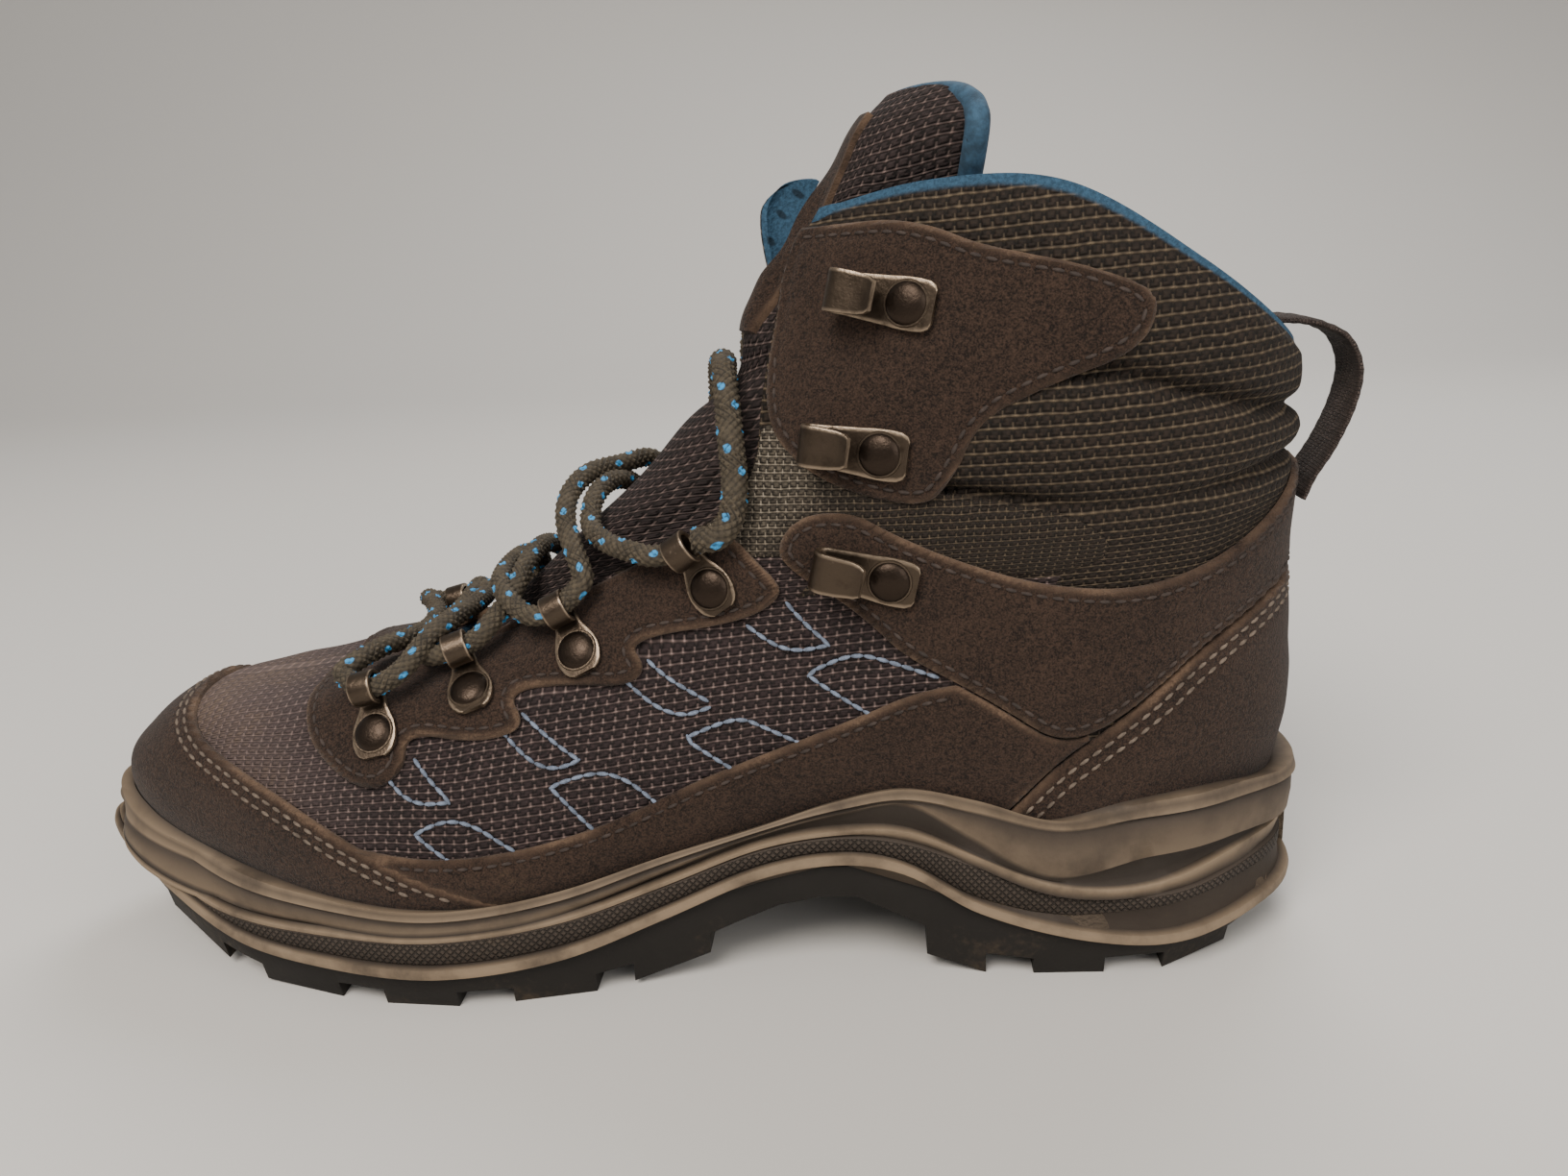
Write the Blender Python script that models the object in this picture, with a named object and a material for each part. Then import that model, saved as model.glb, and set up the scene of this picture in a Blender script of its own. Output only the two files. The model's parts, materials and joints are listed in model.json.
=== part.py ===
"""Right mid-cut hiking boot, built as the pieces that its maker puts together.

Every piece is drawn on one last. A place on the last has a turn, in degrees round
the boot (0 at the toe, 180 at the heel, medial side negative), and a level, the
number of the ring that it lies on, counted up from the feather edge. Sizes are in
millimetres until a mesh is finished. A station is a distance from the toe tip.
"""
import math
from collections import namedtuple

import bmesh
import bpy
import numpy as np
from mathutils import Matrix, Vector

MM = 0.001
LENGTH = 278.0            # outsole, toe tip to heel
ORIGIN_STATION = 141.8    # station under the model's origin
ORIGIN_SIDE = 0.85         # the sole is a little wider on its lateral side
GAP = 0.3                 # between pieces that meet
OVERLAY = 1.4             # suede thickness
SHELL_WALL = 2.4          # textile and lining
CUFF_WALL = 6.2           # padded cuff
RIM_ROUND = 1.5           # how far the collar's rim draws in on each face
TOE_INSET = 4.0           # how far the toe tip lies towards the big toe

# ---------------------------------------------------------------- the last

Ring = namedtuple("Ring", "name front back z_toe z_fore z_waist z_rear z_heel medial lateral")
WIDTH_PLACES = (0.1, 0.3, 0.6, 0.85)      # along a ring, where its half widths are given
HEIGHT_PLACES = (0.0, 0.25, 0.5, 0.75, 1.0)
RINGS = (
    # name, front, back, five heights from toe to heel, medial and lateral half widths
    Ring("feather", 15.0, 266.5, 29.0, 17.0, 24.0, 29.5, 27.5,
         (23.0, 40.0, 25.0, 29.0), (25.0, 42.5, 32.0, 30.0)),
    Ring("lip", 11.3, 270.3, 41.0, 28.0, 28.0, 38.0, 38.0,
         (25.0, 42.0, 27.5, 31.5), (27.0, 44.5, 34.5, 32.5)),
    Ring("shoulder", 16.4, 272.6, 49.0, 46.0, 47.0, 52.0, 52.0,
         (25.0, 38.0, 30.0, 31.5), (26.5, 40.0, 36.0, 32.5)),
    Ring("toe_top", 31.0, 272.0, 58.5, 60.0, 60.0, 65.0, 66.0,
         (20.5, 30.0, 30.5, 31.0), (21.5, 33.0, 35.0, 32.0)),
    Ring("vamp", 53.0, 271.2, 61.5, 67.0, 71.0, 76.0, 79.0,
         (14.0, 24.5, 30.0, 30.5), (15.5, 28.0, 33.5, 31.5)),
    Ring("throat", 80.0, 271.0, 65.2, 77.4, 85.0, 89.0, 92.0,
         (11.5, 22.0, 30.5, 30.5), (13.0, 25.5, 32.5, 31.5)),
    Ring("instep", 109.0, 271.8, 84.0, 93.0, 99.0, 102.0, 104.0,
         (12.0, 23.5, 32.5, 31.0), (13.0, 26.0, 34.0, 32.0)),
    Ring("ankle", 138.0, 272.2, 107.0, 114.0, 116.0, 115.0, 114.0,
         (13.0, 25.5, 35.0, 31.0), (14.0, 27.0, 36.0, 32.0)),
    Ring("cuff", 160.0, 271.4, 137.0, 139.0, 138.0, 131.0, 120.5,
         (14.0, 26.0, 35.0, 30.0), (14.0, 27.0, 35.5, 31.0)),
    Ring("collar", 173.0, 270.2, 157.0, 161.5, 159.5, 145.0, 127.0,
         (14.0, 25.0, 32.0, 28.0), (14.0, 26.0, 33.0, 28.0)),
    Ring("tongue", 190.0, 270.2, 178.0, 180.5, 176.0, 160.0, 142.0,
         (12.0, 24.0, 32.0, 28.0), (12.0, 24.0, 33.0, 28.0)),
)
FEATHER = -1.0                            # level of the first ring
COLLAR = 8.0
TONGUE_TOP = 9.0
LEVELS = np.arange(len(RINGS)) + FEATHER
TOE_FULLNESS = 2.2                        # powers of the rings' front and back curves
HEEL_FULLNESS = 2.3


def knot_weights(knots, places):
    """Weights of a smooth curve through knots: one row of weights for each place."""
    knots = np.asarray(knots, float)
    places = np.clip(np.atleast_1d(np.asarray(places, float)), knots[0], knots[-1])
    count = len(knots)
    left = np.clip(np.searchsorted(knots, places) - 1, 0, count - 2)
    step = knots[left + 1] - knots[left]
    part = (places - knots[left]) / step
    slope = np.zeros((count, count))
    for k in range(count):
        before, after = max(k - 1, 0), min(k + 1, count - 1)
        run = knots[after] - knots[before]
        slope[k, after] += 1.0 / run
        slope[k, before] -= 1.0 / run
    value = np.eye(count)
    rise = (part ** 3 - 2 * part ** 2 + part) * step
    fall = (part ** 3 - part ** 2) * step
    far = 3 * part ** 2 - 2 * part ** 3
    return ((1 - far)[:, None] * value[left] + far[:, None] * value[left + 1]
            + rise[:, None] * slope[left] + fall[:, None] * slope[left + 1])


def along(table, column, stations):
    """Read a table's named column at the given stations, as a smooth curve."""
    knots = [row[0] for row in table]
    values = np.array([getattr(row, column) for row in table], float)
    return knot_weights(knots, stations) @ values


def fullness(part):
    """Half width of a ring of unit half width, a rounded oval, at each part of its length."""
    across = np.abs(1 - 2 * part)
    power = np.where(part < 0.5, TOE_FULLNESS, HEEL_FULLNESS)
    return np.clip(1 - across ** power, 0, 1) ** (1 / power)


def centre_line(station):
    """How far the boot's centre line lies to the lateral side at a station."""
    return -TOE_INSET * np.clip(1 - station / LENGTH, 0, 1) ** 3


RING_TABLE = np.array([(r.front, r.back, r.z_toe, r.z_fore, r.z_waist, r.z_rear, r.z_heel,
                        *r.medial, *r.lateral) for r in RINGS])
WIDTH_SCALE = fullness(np.array(WIDTH_PLACES))
WIDTH_KNOTS = (0.0, *WIDTH_PLACES, 1.0)


def on_rings(turn, level):
    """Points of the last's own surface."""
    turn, level = np.broadcast_arrays(np.radians(np.atleast_1d(turn)), np.atleast_1d(level))
    turn, level = turn.astype(float), level.astype(float)
    row = knot_weights(LEVELS, level) @ RING_TABLE
    part = (1 - np.cos(turn)) / 2
    station = row[:, 0] + (row[:, 1] - row[:, 0]) * part
    height = np.sum(knot_weights(HEIGHT_PLACES, part) * row[:, 2:7], axis=1)
    lateral = np.sin(turn) >= 0
    widths = np.where(lateral[:, None], row[:, 11:15], row[:, 7:11]) / WIDTH_SCALE
    widths = np.column_stack((widths[:, 0], widths, widths[:, 3]))
    half = fullness(part) * np.sum(knot_weights(WIDTH_KNOTS, part) * widths, axis=1)
    side = centre_line(station) + np.where(lateral, half, -half)
    return np.column_stack((station, side, height))


def on_last(turn, level, out=0.0):
    """Points at a height out over the last's surface."""
    turn, level = np.broadcast_arrays(np.atleast_1d(turn).astype(float), np.atleast_1d(level))
    small = 0.05
    low = np.maximum(level - small, LEVELS[0])
    high = np.minimum(level + small, LEVELS[-1])
    ahead = on_rings(turn + small, level) - on_rings(turn - small, level)
    upward = on_rings(turn, high) - on_rings(turn, low)
    normal = np.cross(upward, ahead)
    normal /= np.linalg.norm(normal, axis=1)[:, None]
    points = on_rings(turn, level) + np.reshape(out, (-1, 1)) * normal
    edge = level <= FEATHER
    points[edge, 2] = on_rings(turn, level)[edge, 2]      # the feather edge is level across
    return points


def blend(value, low, high):
    """0 below low, 1 above high, and a smooth rise between them."""
    part = np.clip((np.asarray(value, float) - low) / (high - low), 0, 1)
    return part * part * (3 - 2 * part)


FLARE = np.array((-7.0, 9.0, 3.0))        # how the open lateral flap stands out at its top corner


def on_shell(turn, level, out=0.0):
    """Points over the last with the lateral flap of the collar standing open at its front."""
    turn, level = np.broadcast_arrays(np.atleast_1d(turn).astype(float), np.atleast_1d(level))
    share = blend(level, 6.8, 7.8) * blend(turn, 0.0, 6.0) * (1 - blend(turn, 20.0, 60.0))
    return on_last(turn, level, out) + share[:, None] * FLARE


Throat = namedtuple("Throat", "level medial lateral")
THROAT = (                                # turn of the throat's edge on each side
    Throat(3.80, 0.0, 0.0),
    Throat(3.92, 20.0, 20.0),
    Throat(4.15, 33.0, 33.0),
    Throat(4.60, 45.0, 45.0),
    Throat(5.00, 53.0, 52.0),
    Throat(5.40, 59.0, 57.0),
    Throat(5.90, 54.0, 52.0),
    Throat(6.40, 43.0, 41.0),
    Throat(6.90, 33.0, 30.0),
    Throat(7.40, 22.0, 18.0),
    Throat(8.00, 22.0, 16.0),
)


def throat_turn(turn, level):
    """Turn of the throat's edge, at each place's level and on its side."""
    medial = along(THROAT, "medial", level)
    lateral = along(THROAT, "lateral", level)
    return np.where(turn < 0, medial, lateral)


def wall(turn, level):
    """The shell's wall: thin at the vamp and beside the throat, padded round the ankle."""
    beside = blend(np.abs(turn) - throat_turn(turn, level), 4.0, 30.0)
    return SHELL_WALL + (CUFF_WALL - SHELL_WALL) * blend(level, 4.8, 6.5) * beside


# ---------------------------------------------------------------- the sole's tables

Outline = namedtuple("Outline", "station medial lateral")
OUTLINE = (                               # half widths of the sole at its bead
    Outline(11.0, 14.0, 16.5),
    Outline(41.0, 34.0, 37.0),
    Outline(66.0, 42.8, 46.0),
    Outline(92.0, 47.4, 50.0),
    Outline(118.0, 43.9, 50.5),
    Outline(145.0, 38.0, 46.5),
    Outline(172.0, 34.8, 41.5),
    Outline(205.0, 36.4, 38.5),
    Outline(229.0, 36.6, 37.0),
    Outline(250.0, 33.0, 33.5),
    Outline(267.0, 21.5, 21.5),
)
SOLE_POWER = 1.9                          # of the sole's front curve

Side = namedtuple("Side", "station bead bead_top band_top groove rim_low rim_top tread plate")
SIDE = (                                  # heights of the lines along the sole's side
    #    station bead bead_top band_top groove rim_low rim_top tread plate
    Side(0.0,   25.5, 27.7, 28.5, 29.5, 30.5, 40.0, 20.0, 22.5),
    Side(8.0,   22.3, 24.5, 25.3, 26.5, 28.0, 39.0, 14.5, 18.0),
    Side(18.0,  18.5, 20.7, 21.4, 22.5, 26.0, 34.0,  8.5, 13.0),
    Side(34.0,  14.0, 16.2, 17.2, 19.5, 24.8, 29.4,  3.0,  7.6),
    Side(50.0,  10.6, 12.8, 16.4, 19.0, 24.3, 26.9,  0.4,  4.6),
    Side(70.0,   9.0, 11.2, 16.0, 18.3, 22.4, 25.1,  0.0,  4.0),
    Side(95.0,   8.7, 10.9, 16.5, 18.3, 21.5, 24.0,  0.0,  4.0),
    Side(118.0, 10.5, 12.7, 18.2, 20.0, 23.4, 25.9,  0.0,  4.0),
    Side(140.0, 17.0, 19.2, 23.6, 26.0, 28.8, 31.0,  2.4,  7.5),
    Side(160.0, 24.2, 26.3, 29.8, 31.6, 33.5, 35.4, 11.0, 15.4),
    Side(178.0, 26.9, 28.9, 32.4, 34.6, 38.5, 41.2, 18.0, 19.0),
    Side(191.0, 24.7, 26.7, 31.3, 34.4, 41.3, 44.0,  6.0, 13.5),
    Side(205.0, 16.5, 18.9, 26.3, 30.0, 37.8, 42.0,  0.0,  5.0),
    Side(222.0, 11.0, 13.6, 20.0, 24.4, 34.6, 37.6,  0.0,  4.0),
    Side(240.0,  8.0, 10.7, 18.1, 24.5, 37.0, 40.8,  0.0,  4.0),
    Side(258.0,  8.3, 11.0, 19.3, 25.4, 36.8, 41.0,  1.2,  5.0),
    Side(270.0,  9.5, 12.2, 20.8, 25.2, 34.8, 39.0,  4.5,  7.0),
    Side(278.0, 10.5, 13.0, 21.0, 24.8, 33.0, 38.0,  7.0,  8.2),
)

Relief = namedtuple("Relief", "station band groove rim rim_top")
RELIEF = (                                # how far each line lies inside the bead
    Relief(0.0,   1.4, 2.6, 2.6, 7.6),
    Relief(18.0,  1.2, 2.6, 2.6, 6.2),
    Relief(34.0,  1.2, 2.6, 2.4, 4.4),
    Relief(60.0,  1.4, 2.8, 1.6, 2.8),
    Relief(95.0,  1.6, 3.0, 1.4, 2.4),
    Relief(150.0, 1.6, 3.6, 1.6, 2.4),
    Relief(178.0, 1.6, 5.0, 1.8, 2.6),
    Relief(205.0, 1.6, 3.4, 1.4, 2.2),
    Relief(240.0, 2.2, 3.6, 0.8, 1.6),
    Relief(278.0, 2.6, 3.6, 0.3, 1.2),
)


def sole_half(station, lateral):
    """Half width of the sole's bead at each station, on one side."""
    part = station / LENGTH
    across = np.abs(1 - 2 * part)
    power = np.where(part < 0.5, SOLE_POWER, HEEL_FULLNESS)
    oval = np.clip(1 - across ** power, 0, 1) ** (1 / power)
    knots = np.array([row.station for row in OUTLINE]) / LENGTH
    knot_power = np.where(knots < 0.5, SOLE_POWER, HEEL_FULLNESS)
    knot_oval = (1 - np.abs(1 - 2 * knots) ** knot_power) ** (1 / knot_power)
    widths = np.array([row.lateral if lateral else row.medial for row in OUTLINE]) / knot_oval
    return oval * (knot_weights(knots, part) @ widths)


def on_sole(turn, inset):
    """Plan points of the sole's outline, moved in by inset."""
    def bead(angle):
        part = (1 - np.cos(np.radians(angle))) / 2
        station = LENGTH * part
        lateral = np.sin(np.radians(angle)) >= 0
        half = np.where(lateral, sole_half(station, True), -sole_half(station, False))
        return np.column_stack((station, centre_line(station) + half))

    turn = np.atleast_1d(turn).astype(float)
    small = 1.5
    ahead = bead(turn + small) - bead(turn - small)
    inward = np.column_stack((ahead[:, 1], -ahead[:, 0]))
    inward /= np.linalg.norm(inward, axis=1)[:, None]
    return bead(turn) + np.reshape(inset, (-1, 1)) * inward


# ---------------------------------------------------------------- unrolled outlines

TOE_CAP = (                               # turn and level, from the crest to the medial feather edge
    (0, 2.02), (10, 1.95), (20, 1.68), (30, 1.38), (41, 1.10), (54, 0.66), (67, 0.20), (74, -0.15),
    (84, -1.1),
)
RAND = (
    (60, 0.44), (68, 0.38), (76, 0.43), (84, 0.58), (90, 0.83), (102, 1.42), (113, 2.30), (126, 1.90),
    (135, 1.10),
    (130, 0.17), (125, -1.1), (84, -1.1), (74, -0.15),
)
EYESTAY = (                               # outer edge, from the crest back to the top lobe
    (0, 3.42), (16, 3.30), (32, 2.75), (42, 2.10), (50, 1.45), (60, 0.98), (63, 1.30), (60, 1.75),
    (69, 1.62),
    (73, 1.85), (66, 2.50), (71, 2.66), (79, 2.55), (78, 3.0), (71, 3.50), (84, 3.60), (86, 3.95),
    (81, 4.35),
    (68, 5.00), (62, 5.12),
)
ANKLE_PATCH = (
    (12, 7.82), (39, 7.74), (63, 7.66), (80, 7.40), (99, 7.42), (112, 7.42), (111, 6.80), (97, 6.40),
    (90, 6.10),
    (92, 5.60), (93, 5.18), (86, 5.27), (68, 5.68), (50, 6.18), (34, 6.85), (20, 7.30),
)
QUARTER = (                               # from the front tip along the top edge to the heel
    (75, 4.85), (73, 5.25), (82, 5.22), (92, 4.82), (105, 4.27), (118, 3.80), (131, 3.58), (144, 3.86),
    (158, 4.42), (171, 4.90), (180, 5.02),
)
QUARTER_LOW = (
    (180, 3.20), (166, 3.12), (155, 2.92), (144, 2.42), (138, 1.80), (128, 0.95), (120, 1.66),
    (108, 2.68), (98, 3.58),
    (82, 4.42),
)
COUNTER = (
    (180, 3.20), (166, 3.12), (155, 2.92), (144, 2.42), (138, 1.80), (128, 0.88), (124, 0.17), (119, -1.1),
)


def soften(points, rounds=2):
    """Cut a closed outline's corners, so that it becomes a smooth curve."""
    points = np.asarray(points, float)
    for _ in range(rounds):
        following = np.roll(points, -1, axis=0)
        points = np.stack((0.75 * points + 0.25 * following, 0.25 * points + 0.75 * following), axis=1)
        points = points.reshape(-1, 2)
    return points


def mirrored(half_path):
    """A closed outline from one side's path and its mirror image over turn 0."""
    there = [(-turn, level) for turn, level in half_path]
    back = [(turn, level) for turn, level in reversed(half_path)]
    return there + back


def round_heel(half_path):
    """One side's path and its mirror image over the heel, on turns that run through 180."""
    back = [(360 - turn, level) for turn, level in reversed(half_path)]
    return list(half_path) + back


class Panel:
    """A closed outline on the unrolled last, with its distance in millimetres."""

    def __init__(self, outline):
        self.outline = soften(outline)
        following = np.roll(self.outline, -1, axis=0)
        parts = np.linspace(0, 1, 4)[:-1, None, None]
        fine = ((1 - parts) * self.outline + parts * following).transpose(1, 0, 2).reshape(-1, 2)
        self.line = on_last(fine[:, 0], np.clip(fine[:, 1], FEATHER, TONGUE_TOP))

    def holds(self, places):
        """Whether each place lies inside the outline."""
        start, end = self.outline, np.roll(self.outline, -1, axis=0)
        turn, level = places[:, :1], places[:, 1:2]
        spans = (start[:, 1] > level) != (end[:, 1] > level)
        rise = np.where(end[:, 1] == start[:, 1], 1.0, end[:, 1] - start[:, 1])
        crossing = start[:, 0] + (level - start[:, 1]) / rise * (end[:, 0] - start[:, 0])
        return (np.sum(spans & (turn < crossing), axis=1) % 2) == 1

    def depth(self, places):
        """Distance from the outline, positive inside it."""
        points = on_last(places[:, 0], np.clip(places[:, 1], FEATHER, TONGUE_TOP))
        start, end = self.line, np.roll(self.line, -1, axis=0)
        run = end - start
        size = np.maximum(np.sum(run * run, axis=1), 1e-9)
        offset = points[:, None, :] - start
        part = np.clip(np.sum(offset * run, axis=2) / size, 0, 1)
        apart = np.linalg.norm(offset - part[:, :, None] * run, axis=2).min(axis=1)
        return np.where(self.holds(places), apart, -apart)


THROAT_GAP = Panel([(-row.medial, row.level) for row in THROAT] + [(-22, 8.8), (16, 8.8)]
                   + [(row.lateral, row.level) for row in reversed(THROAT)])


def throat_depth(places):
    """Distance outside the throat's edge, negative in the gap."""
    return -THROAT_GAP.depth(places)


# ---------------------------------------------------------------- making meshes

PER_SIDE = 22                             # columns on each side of the boot
CROWDING = 0.06                           # draws the columns towards the boot's middle
SHARE = np.arange(-2 * PER_SIDE, 2 * PER_SIDE + 1) / PER_SIDE
TURNS = 180.0 * (SHARE + CROWDING * np.sin(2 * math.pi * SHARE))
MESH_LEVELS = np.linspace(FEATHER, TONGUE_TOP, 21)


def columns(low=-180.0, high=180.0):
    """Turns of the mesh's columns between two limits, the same on every piece."""
    return TURNS[(TURNS > low - 0.01) & (TURNS < high + 0.01)]


def rows(low, high):
    """Levels of the mesh's rows between two limits."""
    return MESH_LEVELS[(MESH_LEVELS > low - 0.01) & (MESH_LEVELS < high + 0.01)]


def on_facets(turn, level, out=0.0):
    """Points on the flat facets that stand in for the last, so that neighbouring pieces fit."""
    column = np.clip(np.searchsorted(TURNS, turn, side="right") - 1, 0, len(TURNS) - 2)
    row = np.clip(np.searchsorted(MESH_LEVELS, level, side="right") - 1, 0, len(MESH_LEVELS) - 2)
    across = (turn - TURNS[column]) / (TURNS[column + 1] - TURNS[column])
    up = (level - MESH_LEVELS[row]) / (MESH_LEVELS[row + 1] - MESH_LEVELS[row])
    total = 0.0
    for right, share in ((0, 1 - across), (1, across)):
        for above, part in ((0, 1 - up), (1, up)):
            corner = (TURNS[column + right], MESH_LEVELS[row + above])
            height = out(*corner) if callable(out) else out
            total = total + (share * part)[:, None] * on_shell(*corner, height)
    return total


def flat_grid(across, up):
    """A grid in the plane, with a column at each value of across and a row at each of up."""
    bm = bmesh.new()
    bmesh.ops.create_grid(bm, x_segments=len(across) - 1, y_segments=len(up) - 1, size=0.5)
    for vert in bm.verts:
        column = round((vert.co.x + 0.5) * (len(across) - 1))
        row = round((vert.co.y + 0.5) * (len(up) - 1))
        vert.co = (across[column], up[row], 0.0)
    return bm


def places_of(verts):
    """The verts' places on the unrolled last, as an array."""
    return np.array([vert.co[:2] for vert in verts], float)


def trim(bm, depth):
    """Cut a flat pattern where depth is zero, and drop the side where it is negative."""
    bm.verts.index_update()
    value = depth(places_of(bm.verts))
    crossing = [edge for edge in bm.edges if value[edge.verts[0].index] * value[edge.verts[1].index] < 0]
    kept = {vert: value[vert.index] > 0 for vert in bm.verts}
    if crossing:
        start = places_of([edge.verts[0] for edge in crossing])
        end = places_of([edge.verts[1] for edge in crossing])
        sign = np.sign([value[edge.verts[0].index] for edge in crossing])
        low, high = np.zeros(len(crossing)), np.ones(len(crossing))
        for _ in range(14):
            middle = (low + high) / 2
            same = np.sign(depth(start + middle[:, None] * (end - start))) == sign
            low, high = np.where(same, middle, low), np.where(same, high, middle)
        seam = []
        for edge, part in zip(crossing, np.clip(low, 0.001, 0.999)):
            _, vert = bmesh.utils.edge_split(edge, edge.verts[0], float(part))
            seam.append(vert)
        bmesh.ops.connect_verts(bm, verts=seam)
    outside = [face for face in bm.faces if any(not kept.get(vert, True) for vert in face.verts)]
    bmesh.ops.delete(bm, geom=outside, context="FACES")
    return bm


def raise_pattern(bm, inner, outer):
    """Turn a flat pattern into a solid sheet over the last, between two heights."""
    turn_of = bm.verts.layers.float.new("turn")
    level_of = bm.verts.layers.float.new("level")
    for vert in bm.verts:
        vert[turn_of], vert[level_of] = vert.co.x, vert.co.y

    def settle(verts, height):
        places = np.array([(vert[turn_of], vert[level_of]) for vert in verts])
        for vert, point in zip(verts, on_facets(places[:, 0], places[:, 1], height)):
            vert.co = point

    settle(list(bm.verts), inner)
    bmesh.ops.remove_doubles(bm, verts=bm.verts, dist=0.01)
    raised = bmesh.ops.extrude_face_region(bm, geom=bm.faces[:], use_keep_orig=True)
    settle([item for item in raised["geom"] if isinstance(item, bmesh.types.BMVert)], outer)
    bmesh.ops.recalc_face_normals(bm, faces=bm.faces)
    return bm


Finish = namedtuple("Finish", "colour roughness metallic")
SUEDE = Finish((0.085, 0.063, 0.048), 0.95, 0.0)
MESH = Finish((0.060, 0.053, 0.050), 0.90, 0.0)
RUBBER = Finish((0.040, 0.037, 0.035), 0.80, 0.0)
FOAM = Finish((0.190, 0.165, 0.135), 0.75, 0.0)
METAL = Finish((0.180, 0.170, 0.160), 0.35, 1.0)
CORD = Finish((0.055, 0.052, 0.040), 0.85, 0.0)
WEBBING = Finish((0.060, 0.055, 0.065), 0.85, 0.0)


def finish_material(name, finish):
    """A piece's own material."""
    material = bpy.data.materials.new(name)
    material.use_nodes = True
    shader = material.node_tree.nodes["Principled BSDF"]
    shader.inputs["Base Color"].default_value = (*finish.colour, 1.0)
    shader.inputs["Roughness"].default_value = finish.roughness
    shader.inputs["Metallic"].default_value = finish.metallic
    return material


def to_world(point):
    """A point on the boot in millimetres, as metres from the model's origin."""
    station, side, height = point
    return Vector(((station - ORIGIN_STATION) * MM, (side - ORIGIN_SIDE) * MM, height * MM))


def add_object(name, mesh, finish):
    """Link a finished mesh as a named object with its own material."""
    obj = bpy.data.objects.new(name, mesh)
    bpy.context.scene.collection.objects.link(obj)
    mesh.materials.append(finish_material(name, finish))
    return obj


def solid(name, bm, finish, smooth=True):
    """Finish a bmesh drawn in boot millimetres as an object."""
    for vert in bm.verts:
        vert.co = to_world(vert.co)
    mesh = bpy.data.meshes.new(name)
    bm.to_mesh(mesh)
    bm.free()
    if smooth:
        mesh.shade_smooth()
        mesh.set_sharp_from_angle(angle=math.radians(40))
    return add_object(name, mesh, finish)


# ---------------------------------------------------------------- upper and overlays


def build_upper():
    """The hollow shell: open at the collar, along the throat and underneath."""
    bm = trim(flat_grid(columns(), rows(FEATHER, COLLAR)), throat_depth)
    raise_pattern(bm, lambda turn, level: -wall(turn, level) + RIM_ROUND * blend(level, 7.4, COLLAR),
                  lambda turn, level: -RIM_ROUND * blend(level, 7.6, COLLAR))
    return solid("upper", bm, MESH)


def overlay(name, pattern, limits, lift=GAP):
    """A suede piece over the shell; each limit gives a depth and the margin kept inside it."""
    for depth, margin in limits:
        trim(pattern, lambda places, depth=depth, margin=margin: depth(places) - margin)
    raise_pattern(pattern, lift, GAP + OVERLAY)
    return solid(name, pattern, SUEDE)


def build_overlays():
    """Toe cap, rands, eyestay, quarter, counter and ankle patches, edge to edge."""
    seam = 0.25                           # half the gap between two neighbours
    toe_cap = Panel(mirrored(TOE_CAP))
    overlay("toe_cap", flat_grid(columns(-90, 90), rows(FEATHER, 2.5)), [(toe_cap.depth, seam)])

    far_low = [(360 - turn, level) for turn, level in reversed(QUARTER_LOW)]
    quarter = Panel(round_heel(QUARTER) + far_low + list(QUARTER_LOW))
    counter = Panel(round_heel(COUNTER))
    overlay("heel_counter", flat_grid(columns(110, 250), rows(FEATHER, 4)), [(counter.depth, seam)])
    overlay("quarter", flat_grid(columns(65, 295), rows(0.5, 5.5)),
            [(quarter.depth, seam), (lambda places: -counter.depth(places), seam)])

    eyestay = Panel(mirrored(EYESTAY + ((40, 5.6), (0, 5.6))))
    overlay("eyestay", flat_grid(columns(-95, 95), rows(0.5, 5.5)),
            [(eyestay.depth, seam), (throat_depth, 1.0)], lift=1.7 * GAP)

    for side_name, side in SIDES:
        def on_side(outline):
            return Panel([(side * turn, level) for turn, level in outline])

        def grid(low, high, up):
            return flat_grid(columns(min(side * low, side * high), max(side * low, side * high)), up)

        def clear_of(panel):
            def depth(places):
                turns = places[:, 0] if side > 0 else places[:, 0] + 360 * (panel is not toe_cap)
                return -panel.depth(np.column_stack((turns, places[:, 1])))
            return depth

        rand = on_side(RAND)
        overlay("rand_" + side_name, grid(50, 135, rows(FEATHER, 3)),
                [(rand.depth, seam), (clear_of(toe_cap), seam), (clear_of(quarter), seam),
                 (clear_of(counter), seam)])
        patch = on_side(ANKLE_PATCH)
        overlay("ankle_patch_" + side_name, grid(0, 120, rows(4.5, COLLAR)),
                [(patch.depth, seam), (throat_depth, 1.0)])


LACE_DENT = 6.65                          # level where the loose lace presses the tongue in


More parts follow.
